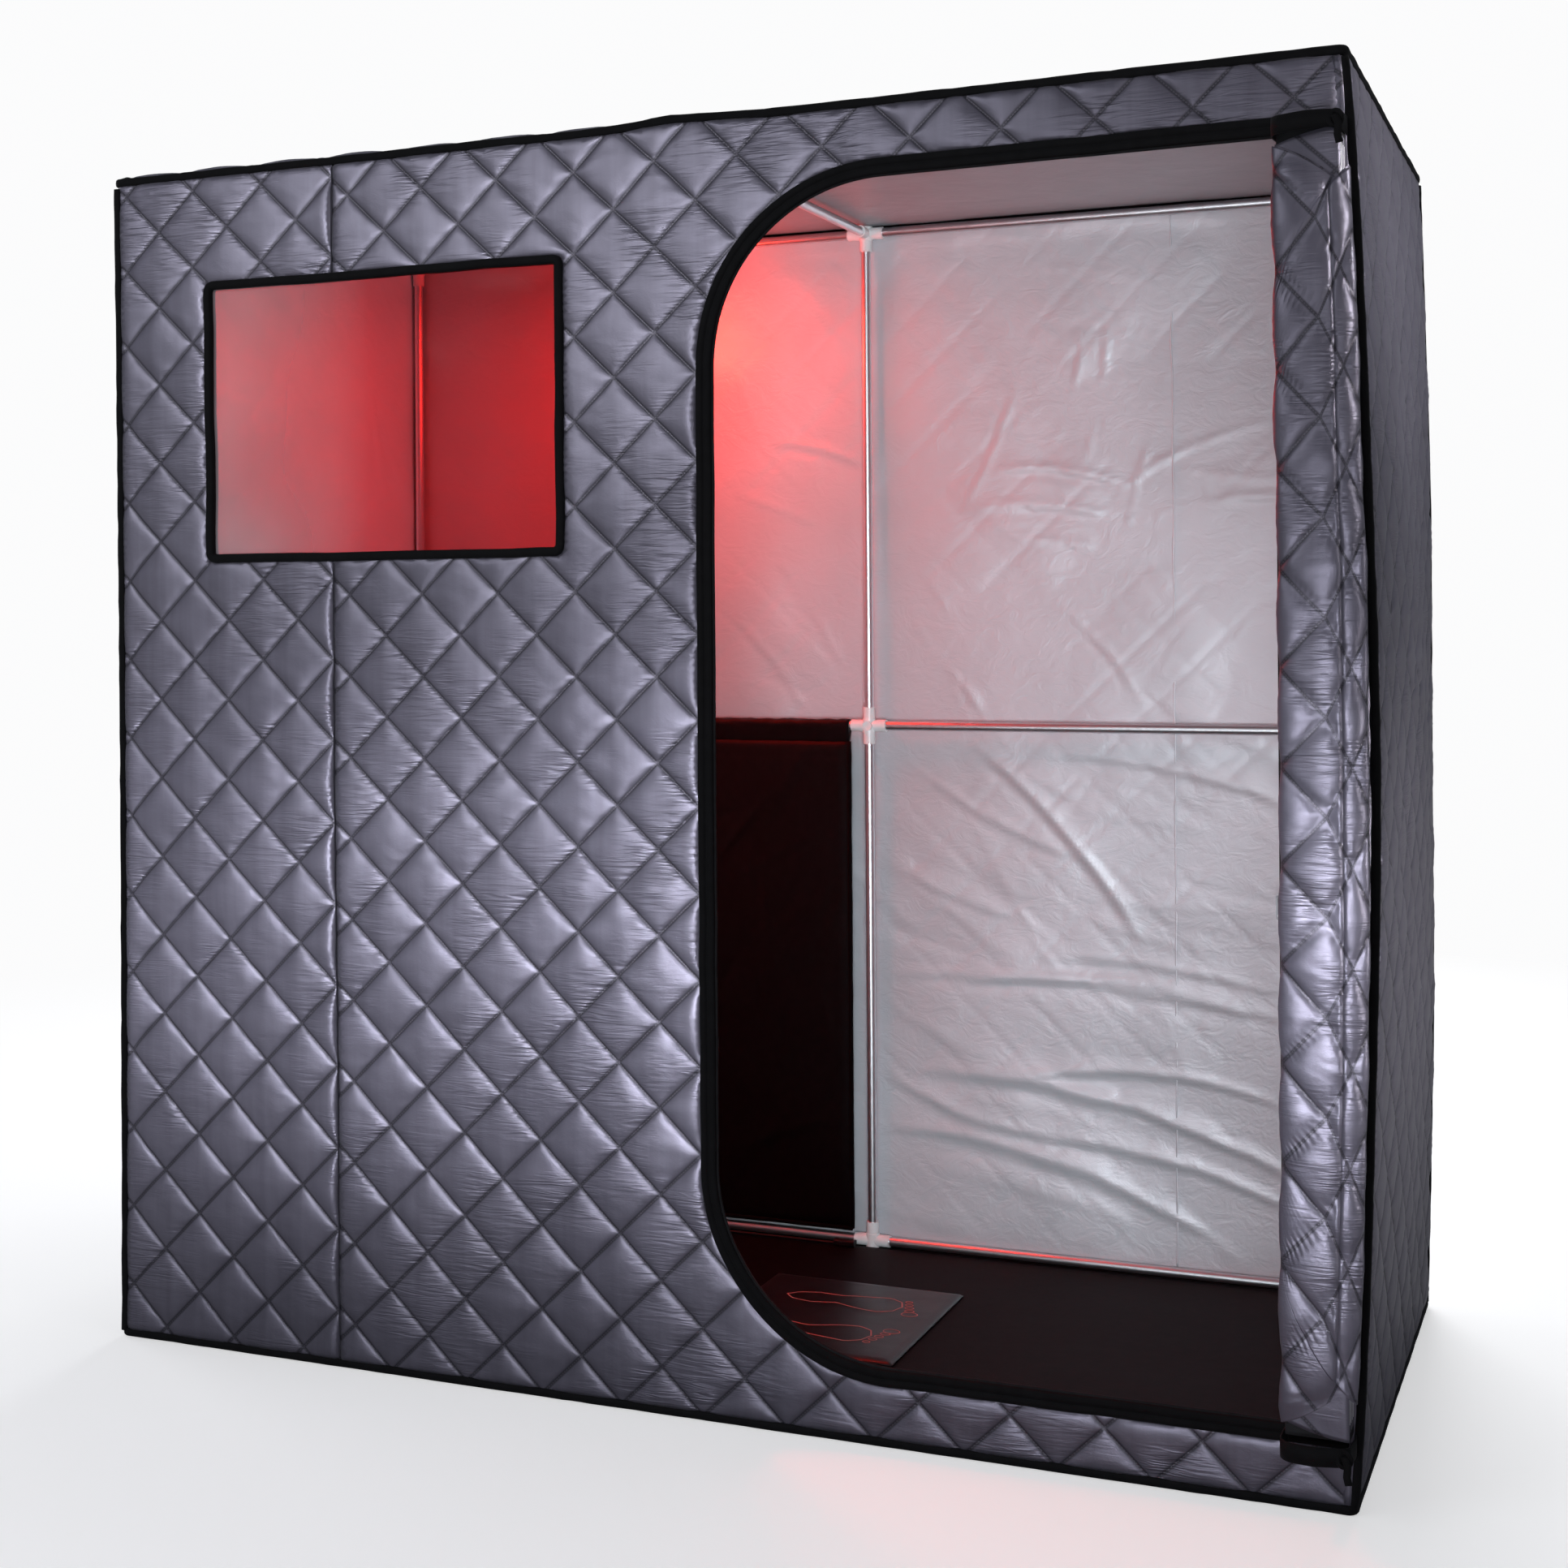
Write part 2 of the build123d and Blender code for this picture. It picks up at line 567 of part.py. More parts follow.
save(lamp_housing.part, "lamp_housing")

save_sheet("lamp_lens", Plane.XY.offset(LAMP_BOTTOM), (97.6, LAMP_LEN - 11.4), 4.0,
           (LAMP_X, 0), corner_radius=7.8)

# ------------------------------------------------------------------ controller, front waist rail
CASE_X, CASE_Z = -120.0, 857.0
CASE_Y0, CASE_Y1 = -401.0, -376.0   # CASE_Y1 is the face towards the inside
CASE_W, CASE_H = 140.0, 86.0
CLIP_W = 16.0
BUTTON_Z = CASE_Z - 18.0
# name, centre x, radius
BUTTONS = [
    ("power_button", CASE_X + 40.0, 9.0),
    ("heat_button", CASE_X - 40.0, 7.0),
    ("timer_button", CASE_X, 7.0),
]

with BuildPart() as controller_case:
    with BuildSketch(facing_front(CASE_Y1)):
        with Locations((CASE_X, CASE_Z)):
            RectangleRounded(CASE_W, CASE_H, 12)
    extrude(amount=CASE_Y1 - CASE_Y0)
    fillet(controller_case.faces().sort_by(Axis.Y)[-1].edges(), 3)
    # two clips with arms down to the case
    for clip_x in (CASE_X - 50.0, CASE_X + 34.0):
        with BuildSketch(Plane.YZ.offset(clip_x)):
            with Locations((-POST_Y, Z_WAIST)):
                Circle(CLIP_R)
            with Locations((-POST_Y + 9.0, Z_WAIST - 10.0)):
                Rectangle(4.0, 20.0)
            with Locations((-POST_Y + 13.0, Z_WAIST - 18.0)):
                Rectangle(12.0, 6.0)
            with Locations((-POST_Y, Z_WAIST)):
                Circle(CLIP_BORE, mode=Mode.SUBTRACT)
        extrude(amount=CLIP_W)
    # button wells
    with BuildSketch(facing_front(CASE_Y1)):
        for _, button_x, button_r in BUTTONS:
            with Locations((button_x, BUTTON_Z)):
                Circle(button_r + 0.4)
    extrude(amount=8.0, mode=Mode.SUBTRACT)
    # shallow recess above the buttons
    with BuildSketch(facing_front(CASE_Y1)):
        with Locations((CASE_X, CASE_Z + 18.0)):
            RectangleRounded(80.0, 26.0, 3)
    extrude(amount=1.0, mode=Mode.SUBTRACT)
save(controller_case.part, "controller_case")

for label, button_x, button_r in BUTTONS:
    with BuildPart() as button:
        with BuildSketch(facing_front(CASE_Y1 - 6.0)):
            with Locations((button_x, BUTTON_Z)):
                Circle(button_r)
        extrude(amount=-8.5)
        fillet(button.faces().sort_by(Axis.Y)[-1].edges(), 0.8)
    save(button.part, label)

# ------------------------------------------------------------------ supply leads
LEAD_R = 2.5
LEAD_Z = FLOOR_MAT_TOP + LEAD_R + 0.3   # leads along the floor
CORD_Z = LEAD_Z + 14                    # mains cord, above the floor leads
CASE_LEAD_Y = -389                      # where leads meet the case
CASE_LOW = CASE_Z - CASE_H / 2 - 0.4    # just below the case
CASE_HIGH = CASE_Z + CASE_H / 2 + 0.4   # just above the case
LAMP_LEAD_Z = 1762
PLUG_Y = 386
CORD_X, CORD_Y = -868, -370

# corner points of each lead, and its bend radius
LEADS = [
    # heating panel supply, ending in an inline plug beside the centre back post
    ([(-150, CASE_LEAD_Y, CASE_LOW), (-150, CASE_LEAD_Y, LEAD_Z), (-884, CASE_LEAD_Y, LEAD_Z),
      (-884, PLUG_Y, LEAD_Z), (-60, PLUG_Y, LEAD_Z)], 22),
    # lamp supply, up the front and along the roof
    ([(-160, CASE_LEAD_Y, CASE_HIGH), (-160, CASE_LEAD_Y, LAMP_LEAD_Z),
      (LAMP_X, CASE_LEAD_Y, LAMP_LEAD_Z), (LAMP_X, -112, LAMP_LEAD_Z)], 22),
    # mains cord, from the controller towards the cable port
    ([(-90, CASE_LEAD_Y, CASE_LOW), (-90, CASE_LEAD_Y, 60), (-90, CORD_Y, CORD_Z),
      (CORD_X, CORD_Y, CORD_Z), (CORD_X, -240, CORD_Z)], 10),
]


def rounded_run(points, radius):
    """Straight lines with round corners through the points, for the current BuildLine."""
    start = Vector(*points[0])
    for before, at, after in zip(points, points[1:], points[2:]):
        corner = Vector(*at)
        to_before = (Vector(*before) - corner).normalized()
        to_after = (Vector(*after) - corner).normalized()
        half_angle = math.radians(to_before.get_angle(to_after) / 2)
        reach = radius / math.tan(half_angle)
        arc_start, arc_end = corner + to_before * reach, corner + to_after * reach
        inner = (to_before + to_after).normalized()
        arc_mid = corner + inner * (radius / math.sin(half_angle) - radius)
        Line(start, arc_start)
        ThreePointArc(arc_start, arc_mid, arc_end)
        start = arc_end
    Line(start, Vector(*points[-1]))


with BuildPart() as supply_leads:
    for points, bend_radius in LEADS:
        with BuildLine() as run:
            rounded_run(points, bend_radius)
        direction = Vector(*points[1]) - Vector(*points[0])
        with BuildSketch(Plane(origin=points[0], z_dir=direction.normalized())):
            Circle(LEAD_R)
        sweep(path=run.wire())
    # inline plug of the heating panel supply
    with BuildSketch(Plane.YZ.offset(-62.0)):
        with Locations((PLUG_Y, LEAD_Z + 2.5)):
            RectangleRounded(15.0, 10.4, 3.0)
    extrude(amount=38.0)
    # rounded block on the end of the mains cord
    with BuildSketch(Plane(origin=(CORD_X, -242, CORD_Z), z_dir=BACK)):
        RectangleRounded(24.0, 20.0, 5.0)
    extrude(amount=34.0)
save(supply_leads.part, "supply_leads")
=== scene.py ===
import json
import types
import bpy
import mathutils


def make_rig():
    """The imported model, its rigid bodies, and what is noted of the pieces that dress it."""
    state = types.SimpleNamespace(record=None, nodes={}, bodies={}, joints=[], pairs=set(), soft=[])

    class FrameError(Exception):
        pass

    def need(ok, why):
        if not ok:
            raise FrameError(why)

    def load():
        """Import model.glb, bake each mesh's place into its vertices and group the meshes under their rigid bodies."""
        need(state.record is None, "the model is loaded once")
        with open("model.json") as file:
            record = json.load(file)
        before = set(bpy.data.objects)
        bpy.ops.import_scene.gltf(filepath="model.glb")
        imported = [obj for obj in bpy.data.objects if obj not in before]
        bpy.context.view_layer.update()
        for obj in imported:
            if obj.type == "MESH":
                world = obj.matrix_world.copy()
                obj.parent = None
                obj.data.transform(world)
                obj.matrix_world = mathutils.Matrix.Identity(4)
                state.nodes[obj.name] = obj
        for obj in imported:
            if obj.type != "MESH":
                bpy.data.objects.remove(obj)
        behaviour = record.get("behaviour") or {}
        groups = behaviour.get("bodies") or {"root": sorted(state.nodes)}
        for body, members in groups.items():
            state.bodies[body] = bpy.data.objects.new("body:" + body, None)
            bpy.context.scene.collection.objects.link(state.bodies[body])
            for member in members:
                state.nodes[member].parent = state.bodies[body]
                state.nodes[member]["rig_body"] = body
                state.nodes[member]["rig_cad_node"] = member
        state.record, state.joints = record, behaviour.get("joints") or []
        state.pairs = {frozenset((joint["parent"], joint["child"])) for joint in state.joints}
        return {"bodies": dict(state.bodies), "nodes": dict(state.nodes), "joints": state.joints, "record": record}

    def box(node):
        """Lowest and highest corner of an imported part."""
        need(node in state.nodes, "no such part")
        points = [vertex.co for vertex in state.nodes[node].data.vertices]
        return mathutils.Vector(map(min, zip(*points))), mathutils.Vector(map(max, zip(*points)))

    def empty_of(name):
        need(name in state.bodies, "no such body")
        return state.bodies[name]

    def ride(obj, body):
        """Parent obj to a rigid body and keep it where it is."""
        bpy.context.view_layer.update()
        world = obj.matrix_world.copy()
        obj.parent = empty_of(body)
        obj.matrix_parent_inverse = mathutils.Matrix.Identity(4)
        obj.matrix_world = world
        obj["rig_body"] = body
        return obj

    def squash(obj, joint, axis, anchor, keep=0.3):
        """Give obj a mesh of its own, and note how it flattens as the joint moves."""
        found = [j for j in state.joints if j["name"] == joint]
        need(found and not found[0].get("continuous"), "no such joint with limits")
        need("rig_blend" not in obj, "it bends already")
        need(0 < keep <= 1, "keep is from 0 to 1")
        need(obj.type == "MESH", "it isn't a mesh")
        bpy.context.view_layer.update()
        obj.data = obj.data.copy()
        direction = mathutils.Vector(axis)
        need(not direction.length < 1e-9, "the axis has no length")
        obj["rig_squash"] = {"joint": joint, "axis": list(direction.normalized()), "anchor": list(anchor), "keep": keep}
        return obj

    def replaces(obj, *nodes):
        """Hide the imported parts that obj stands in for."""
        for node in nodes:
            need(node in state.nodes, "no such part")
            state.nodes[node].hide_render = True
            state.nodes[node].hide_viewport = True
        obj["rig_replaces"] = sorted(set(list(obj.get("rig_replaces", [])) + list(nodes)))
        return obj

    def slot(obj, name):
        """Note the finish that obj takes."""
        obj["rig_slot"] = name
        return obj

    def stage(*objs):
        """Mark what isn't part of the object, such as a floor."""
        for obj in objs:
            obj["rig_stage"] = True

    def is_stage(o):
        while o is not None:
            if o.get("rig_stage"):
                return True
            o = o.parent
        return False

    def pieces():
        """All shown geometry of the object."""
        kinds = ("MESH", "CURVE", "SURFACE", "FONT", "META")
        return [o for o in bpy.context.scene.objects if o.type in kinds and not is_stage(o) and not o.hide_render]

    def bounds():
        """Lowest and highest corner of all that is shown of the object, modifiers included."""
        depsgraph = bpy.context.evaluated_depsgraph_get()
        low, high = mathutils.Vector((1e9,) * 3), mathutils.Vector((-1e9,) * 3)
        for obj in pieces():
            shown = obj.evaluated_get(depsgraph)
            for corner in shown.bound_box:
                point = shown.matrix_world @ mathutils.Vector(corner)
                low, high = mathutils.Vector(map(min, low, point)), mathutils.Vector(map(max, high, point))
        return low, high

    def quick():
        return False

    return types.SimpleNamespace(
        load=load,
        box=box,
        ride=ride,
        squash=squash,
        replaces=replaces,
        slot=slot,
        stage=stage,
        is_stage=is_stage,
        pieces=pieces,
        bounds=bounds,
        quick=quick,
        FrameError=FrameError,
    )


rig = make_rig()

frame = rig.load()
import bpy, math, json
import numpy as np
from mathutils import Vector, Matrix

CAD_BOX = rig.bounds()
NODES = frame["nodes"]

# Sizes in millimetres, from the frame.
def mmbox(node):
    lo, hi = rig.box(node)
    return np.array(lo) * 1000, np.array(hi) * 1000

_lo, _hi = mmbox("roof_edge_binding")
HX, HY, H = _hi[0], _hi[1], _hi[2]
EDGE = 12.0
PX_, PZ_ = 125.0, 119.6          # quilting diamonds
SEAM_X = -533.0                  # fabric join in the front panel
DOOR_X, DOOR_Z0, DOOR_Z1, DOOR_R = 79.0, 104.0, 1696.0, 250.0
TAPE = 22.0


# ------------------------------------------------------------------ numbers
def sm(t):
    t = np.clip(t, 0, 1)
    return t * t * (3 - 2 * t)


def _h(i, j, seed):
    n = (i.astype(np.int64) * 374761393 + j.astype(np.int64) * 668265263 + seed * 974711) & 0xFFFFFFFF
    n = ((n ^ (n >> 13)) * 1274126177) & 0xFFFFFFFF
    n = ((n ^ (n >> 15)) * 2246822519) & 0xFFFFFFFF
    return ((n ^ (n >> 16)) & 0xFFFF) / 32767.5 - 1.0


def noise(x, y, seed=0):
    xi, yi = np.floor(x), np.floor(y)
    fx, fy = sm(x - xi), sm(y - yi)
    a, b = _h(xi, yi, seed), _h(xi + 1, yi, seed)
    c, d = _h(xi, yi + 1, seed), _h(xi + 1, yi + 1, seed)
    return (a * (1 - fx) + b * fx) * (1 - fy) + (c * (1 - fx) + d * fx) * fy


def fbm(x, y, seed=0, octaves=3):
    out, amp, f = 0, 1.0, 1.0
    for k in range(octaves):
        out = out + amp * noise(x * f, y * f, seed + 17 * k)
        amp, f = amp * 0.5, f * 2.03
    return out


def creases(x, z, spots, seed, xr, zr, length, width, height, angle, spread):
    """Soft sharp-edged folds scattered over a sheet."""
    r = np.random.default_rng(seed)
    out = np.zeros_like(x)
    for k in range(spots):
        cx, cz = r.uniform(*xr), r.uniform(*zr)
        ln, w = r.uniform(*length), r.uniform(*width)
        a = math.radians(angle + r.normal() * spread)
        hgt = r.uniform(*height) * r.choice([-1, 1], p=[0.45, 0.55])
        bend = r.normal() * 0.12
        dx, dz = x - cx, z - cz
        t = dx * math.cos(a) + dz * math.sin(a)
        d = -dx * math.sin(a) + dz * math.cos(a) - bend * t * t / ln
        near = (np.abs(t) < ln / 2) & (np.abs(d) < 4 * w)
        if not near.any():
            continue
        tt, dd = t[near], d[near]
        side = np.where(dd > 0, 1.0, 2.4)
        out[near] += hgt * np.exp(-np.abs(dd / w * side) ** 1.4) * (1 - (2 * np.abs(tt) / ln) ** 2) ** 1.2
    return out


def warp(p):
    """How the slack cover departs from the true box, millimetres in and out."""
    p = np.array(p, float)
    x, y, z = p[:, 0], p[:, 1], p[:, 2]
    q = p.copy()
    bow = np.sin(np.pi * np.clip(z / H, 0, 1)) ** 0.8
    back = np.clip((y + HY) / (2 * HY), 0, 1)
    right = 33 * (1 - back) + 14 * back + 5 * np.sin(np.pi * back) + 1.5 * np.sin(z / 140.0 + y / 90.0)
    q[:, 0] += sm((x - 900) / 30) * bow * right
    q[:, 0] -= sm((-x - 880) / 45) * bow * (-4.5 * (1 - back) + 6 * np.sin(np.pi * back))
    wf = sm((-y - 405) / 25)
    top = np.interp(x, [-933, -700, -525, -270, -130, -60, 20, 70, 160, 300, 933],
                    [-9, -8.5, -8.5, -7, -7.5, -5.5, 0.5, -1, -4.5, -4, 0.5])
    q[:, 2] += wf * sm((z - 1500) / 290) * top
    q[:, 2] += sm((z - 1700) / 90) * (1 - wf) * 1.2 * noise(x / 150, y / 150, 5)
    bulge = np.sin(np.pi * np.clip((z - 30) / (H - 60), 0, 1)) ** 0.7
    q[:, 1] -= wf * bulge * (3.0 + 4.0 * noise(x / 330 + 3.1, z / 420, 11)) * sm((HX - np.abs(x)) / 120) * sm((60 - x) / 120)
    wb = sm((y - 405) / 25)
    q[:, 1] += wb * bulge * (7.0 + 5.0 * noise(x / 380, z / 420, 13)) * sm((HX - np.abs(x)) / 120)
    q[:, 1] += wb * 1.0 * sm((HX - np.abs(x)) / 60)
    return q


# ------------------------------------------------------------------ mesh helpers
def make(name, verts, faces, mats, smooth=True, mat_index=None, uv=None):
    me = bpy.data.meshes.new(name)
    me.from_pydata((np.asarray(verts) * 0.001).tolist(), [], [list(map(int, f)) for f in faces])
    me.validate()
    for m in mats if isinstance(mats, (list, tuple)) else [mats]:
        me.materials.append(m)
    if mat_index is not None and len(mat_index) == len(me.polygons):
        me.polygons.foreach_set("material_index", np.asarray(mat_index, np.int32))
    if smooth:
        me.polygons.foreach_set("use_smooth", np.ones(len(me.polygons), bool))
    if uv is not None:
        layer = me.uv_layers.new(name="quilt")
        idx = np.zeros(len(me.loops), np.int32)
        me.loops.foreach_get("vertex_index", idx)
        layer.data.foreach_set("uv", np.asarray(uv, np.float32)[idx].ravel())
    me.update()
    ob = bpy.data.objects.new(name, me)
    bpy.context.scene.collection.objects.link(ob)
    return ob


def solidify(ob, mm, offset=-1.0, rim_mat=0):
    m = ob.modifiers.new("thickness", "SOLIDIFY")
    m.thickness = mm * 0.001
    m.offset = offset
    m.use_rim = True
    return ob


def grid_faces(nu, nv, closed_u=False, closed_v=False, flip=False):
    i = np.arange(nu if closed_u else nu - 1)
    j = np.arange(nv if closed_v else nv - 1)
    I, J = np.meshgrid(i, j, indexing="ij")
    I, J = I.ravel(), J.ravel()
    I2, J2 = (I + 1) % nu, (J + 1) % nv
    f = np.stack([I * nv + J, I2 * nv + J, I2 * nv + J2, I * nv + J2], 1)
    return f[:, ::-1] if flip else f


def sweep(name, path, profile, mats, closed=False, up=(0, 0, 1), caps=True, wob=0.0, seed=1):
    """Closed profile (a, b) carried along a path; a along the side vector, b along the up vector."""
    path = np.array(path, float)
    n = len(path)
    if closed:
        t = np.roll(path, -1, 0) - np.roll(path, 1, 0)
    else:
        t = np.gradient(path, axis=0)
    t /= np.linalg.norm(t, axis=1)[:, None]
    if callable(up):
        u = up(path)
    else:
        u = np.tile(np.array(up, float), (n, 1))
    u = u - (u * t).sum(1)[:, None] * t
    u /= np.linalg.norm(u, axis=1)[:, None]
    s = np.cross(t, u)
    prof = np.array(profile, float)
    m = len(prof)
    dist = np.r_[0, np.cumsum(np.linalg.norm(np.diff(path, axis=0), axis=1))]
    k = 1 + wob * noise(dist / 23.0, dist * 0 + 0.3, seed)[:, None, None]
    v = path[:, None, :] + k * (prof[None, :, 0:1] * s[:, None, :] + prof[None, :, 1:2] * u[:, None, :])
    f = grid_faces(n, m, closed_u=closed, closed_v=True)
    faces = f.tolist()
    if caps and not closed:
        faces += [list(range(m))[::-1], [(n - 1) * m + i for i in range(m)]]
    uv = np.zeros((n, m, 2))
    uv[..., 0] = dist[:, None] / 1000
    uv[..., 1] = np.arange(m)[None, :] / m
    ob = make(name, v.reshape(-1, 3), faces, mats, uv=uv.reshape(-1, 2))
    import bmesh
    bm = bmesh.new(); bm.from_mesh(ob.data)
    bmesh.ops.recalc_face_normals(bm, faces=bm.faces)
    bm.to_mesh(ob.data); bm.free()
    return ob


def superellipse(a, b, n=12, e=2.6, phase=0.0):
    th = np.linspace(0, 2 * np.pi, n, endpoint=False) + phase
    c, s = np.cos(th), np.sin(th)
    return np.stack([a * np.sign(c) * np.abs(c) ** (2 / e), b * np.sign(s) * np.abs(s) ** (2 / e)], 1)


def dense(points, step=14.0, closed=False):
    pts = [np.array(p, float) for p in points]
    if closed:
        pts.append(pts[0])
    out = []
    for a, b in zip(pts, pts[1:]):
        n = max(1, int(round(np.linalg.norm(b - a) / step)))
        out += [a + (b - a) * k / n for k in range(n)]
    if not closed:
        out.append(pts[-1])
    return np.array(out)


# ------------------------------------------------------------------ materials
def nt(name):
    m = bpy.data.materials.new(name)
    m.use_nodes = True
    t = m.node_tree
    b = t.nodes["Principled BSDF"]
    return m, t, b


def N(t, kind, **kw):
    n = t.nodes.new(kind)
    for k, v in kw.items():
        if k in n.inputs.keys() and not hasattr(n, k):
            n.inputs[k].default_value = v
        else:
            setattr(n, k, v)
    return n


def L(t, a, b):
    t.links.new(a, b)


def math_(t, op, a, b=None, clamp=False):
    n = t.nodes.new("ShaderNodeMath"); n.operation = op; n.use_clamp = clamp
    for i, v in enumerate([a, b]):
        if v is None:
            continue
        if isinstance(v, (int, float)):
            n.inputs[i].default_value = v
        else:
            t.links.new(v, n.inputs[i])
    return n.outputs[0]


def mapped(t, scale, coord="Object"):
    c = t.nodes.new("ShaderNodeTexCoord")
    mp = t.nodes.new("ShaderNodeMapping")
    mp.inputs["Scale"].default_value = scale
    t.links.new(c.outputs[coord], mp.inputs["Vector"])
    return mp.outputs[0]


def noise_node(t, vec, scale=1.0, detail=3.0, rough=0.55, distortion=0.0):
    n = t.nodes.new("ShaderNodeTexNoise")
    n.inputs["Scale"].default_value = scale
    n.inputs["Detail"].default_value = detail
    n.inputs["Roughness"].default_value = rough
    n.inputs["Distortion"].default_value = distortion
    t.links.new(vec, n.inputs["Vector"])
    return n.outputs["Fac"]


def ramp(t, fac, stops):
    r = t.nodes.new("ShaderNodeValToRGB")
    e = r.color_ramp.elements
    while len(e) < len(stops):
        e.new(0.5)
    for el, (p, c) in zip(e, stops):
        el.position = p
        el.color = (*c, 1) if len(c) == 3 else c
    t.links.new(fac, r.inputs[0])
    return r.outputs[0]


def bump(t, height, strength, distance, prev=None):
    n = t.nodes.new("ShaderNodeBump")
    n.inputs["Strength"].default_value = strength
    n.inputs["Distance"].default_value = distance
    t.links.new(height, n.inputs["Height"])
    if prev is not None:
        t.links.new(prev, n.inputs["Normal"])
    return n.outputs[0]


def quilt_material(name, dark=1.0):
    m, t, b = nt(name)
    big = noise_node(t, mapped(t, (2.2, 2.2, 2.2)), 1.0, 4)
    col = ramp(t, big, [(0.25, tuple(c * dark for c in (0.122, 0.116, 0.150))), (0.75, tuple(c * dark for c in (0.172, 0.164, 0.208)))])
    # distance to the stitch lines, in lattice units
    uvn = t.nodes.new("ShaderNodeUVMap"); uvn.uv_map = "quilt"
    sep = t.nodes.new("ShaderNodeSeparateXYZ"); L(t, uvn.outputs[0], sep.inputs[0])
    def edge(o):
        return math_(t, "ABSOLUTE", math_(t, "SUBTRACT", math_(t, "FRACT", math_(t, "ADD", o, 0.5)), 0.5))
    du, dv = edge(sep.outputs[0]), edge(sep.outputs[1])
    def dash(o, d):
        on = math_(t, "LESS_THAN", d, 0.010)
        run = math_(t, "LESS_THAN", math_(t, "FRACT", math_(t, "MULTIPLY", o, 20.0)), 0.62)
        return math_(t, "MULTIPLY", on, run)
    thread = math_(t, "MAXIMUM", dash(sep.outputs[1], du), dash(sep.outputs[0], dv))
    near = math_(t, "MINIMUM", du, dv)
    # painted shade: the colour's value falls to 0.32 right at the stitch lines and comes back to full 0.05 lattice
    # units away, standing in for shade in the grooves
    painted_groove_shade = t.nodes.new("ShaderNodeMapRange"); painted_groove_shade.interpolation_type = "SMOOTHSTEP"; L(t, near, painted_groove_shade.inputs[0])
    painted_groove_shade.inputs["From Min"].default_value = 0.010; painted_groove_shade.inputs["From Max"].default_value = 0.050
    painted_groove_shade.inputs["To Min"].default_value = 0.32; painted_groove_shade.inputs["To Max"].default_value = 1.0
    # the satin weave shows as soft upright streaks
    st = noise_node(t, mapped(t, (46, 46, 3.0)), 1.0, 3, 0.6, 0.15)
    sr = t.nodes.new("ShaderNodeMapRange"); L(t, st, sr.inputs[0])
    sr.inputs["To Min"].default_value = 0.72; sr.inputs["To Max"].default_value = 1.22
    groove_shade_and_streaks = math_(t, "MULTIPLY", painted_groove_shade.outputs[0], sr.outputs[0])
    hsv = t.nodes.new("ShaderNodeHueSaturation"); L(t, col, hsv.inputs["Color"]); L(t, groove_shade_and_streaks, hsv.inputs["Value"])
    mix = t.nodes.new("ShaderNodeMix"); mix.data_type = "RGBA"
    L(t, thread, mix.inputs[0]); L(t, hsv.outputs[0], mix.inputs[6]); mix.inputs[7].default_value = (0.085 * dark, 0.08 * dark, 0.10 * dark, 1)
    L(t, mix.outputs[2], b.inputs["Base Color"])
    b.inputs["Metallic"].default_value = 0.62
    b.inputs["Specular IOR Level"].default_value = 0.6
    b.inputs["Sheen Weight"].default_value = 0.05
    b.inputs["Sheen Roughness"].default_value = 0.4
    rough = noise_node(t, mapped(t, (14, 14, 30)), 1.0, 3)
    rr = t.nodes.new("ShaderNodeMapRange"); L(t, rough, rr.inputs[0])
    rr.inputs["To Min"].default_value = 0.36; rr.inputs["To Max"].default_value = 0.50
    L(t, rr.outputs[0], b.inputs["Roughness"])
    # cross wrinkles in patches, a light crumple and the weave
    wr = noise_node(t, mapped(t, (10, 10, 120)), 1.0, 2, 0.6, 0.5)
    ridge = math_(t, "SUBTRACT", 1.0, math_(t, "ABSOLUTE", math_(t, "MULTIPLY", math_(t, "SUBTRACT", wr, 0.5), 6.0)), clamp=True)
    patch = noise_node(t, mapped(t, (8, 8, 11)), 1.0, 2)
    patch = math_(t, "MULTIPLY", math_(t, "SUBTRACT", patch, 0.46), 4.0, clamp=True)
    nrm = bump(t, math_(t, "MULTIPLY", ridge, patch), 0.7, 0.0013)
    crumple = noise_node(t, mapped(t, (26, 26, 44)), 1.0, 4, 0.6, 0.6)
    nrm = bump(t, crumple, 0.32, 0.0016, nrm)
    weave = noise_node(t, mapped(t, (420, 420, 900)), 1.0, 2)
    nrm = bump(t, weave, 0.30, 0.0003, nrm)
    nrm = bump(t, thread, 0.6, 0.0008, nrm)
    L(t, nrm, b.inputs["Normal"])
    return m


def lining_material(name, tone=(0.60, 0.605, 0.635)):
    m, t, b = nt(name)
    n = noise_node(t, mapped(t, (3, 3, 3)), 1.0, 3)
    L(t, ramp(t, n, [(0.3, tuple(c * 0.9 for c in tone)), (0.7, tuple(min(1, c * 1.06) for c in tone))]), b.inputs["Base Color"])
    b.inputs["Metallic"].default_value = 0.28
    b.inputs["Sheen Weight"].default_value = 0.15
    rough = noise_node(t, mapped(t, (20, 20, 20)), 1.0, 3)
    rr = t.nodes.new("ShaderNodeMapRange"); L(t, rough, rr.inputs[0])
    rr.inputs["To Min"].default_value = 0.36; rr.inputs["To Max"].default_value = 0.5
    L(t, rr.outputs[0], b.inputs["Roughness"])
    cr = noise_node(t, mapped(t, (22, 22, 34)), 1.0, 6, 0.6, 1.2)
    nrm = bump(t, cr, 0.55, 0.002)
    weave = noise_node(t, mapped(t, (900, 900, 900)), 1.0, 2)
    nrm = bump(t, weave, 0.22, 0.0002, nrm)
    L(t, nrm, b.inputs["Normal"])
    return m


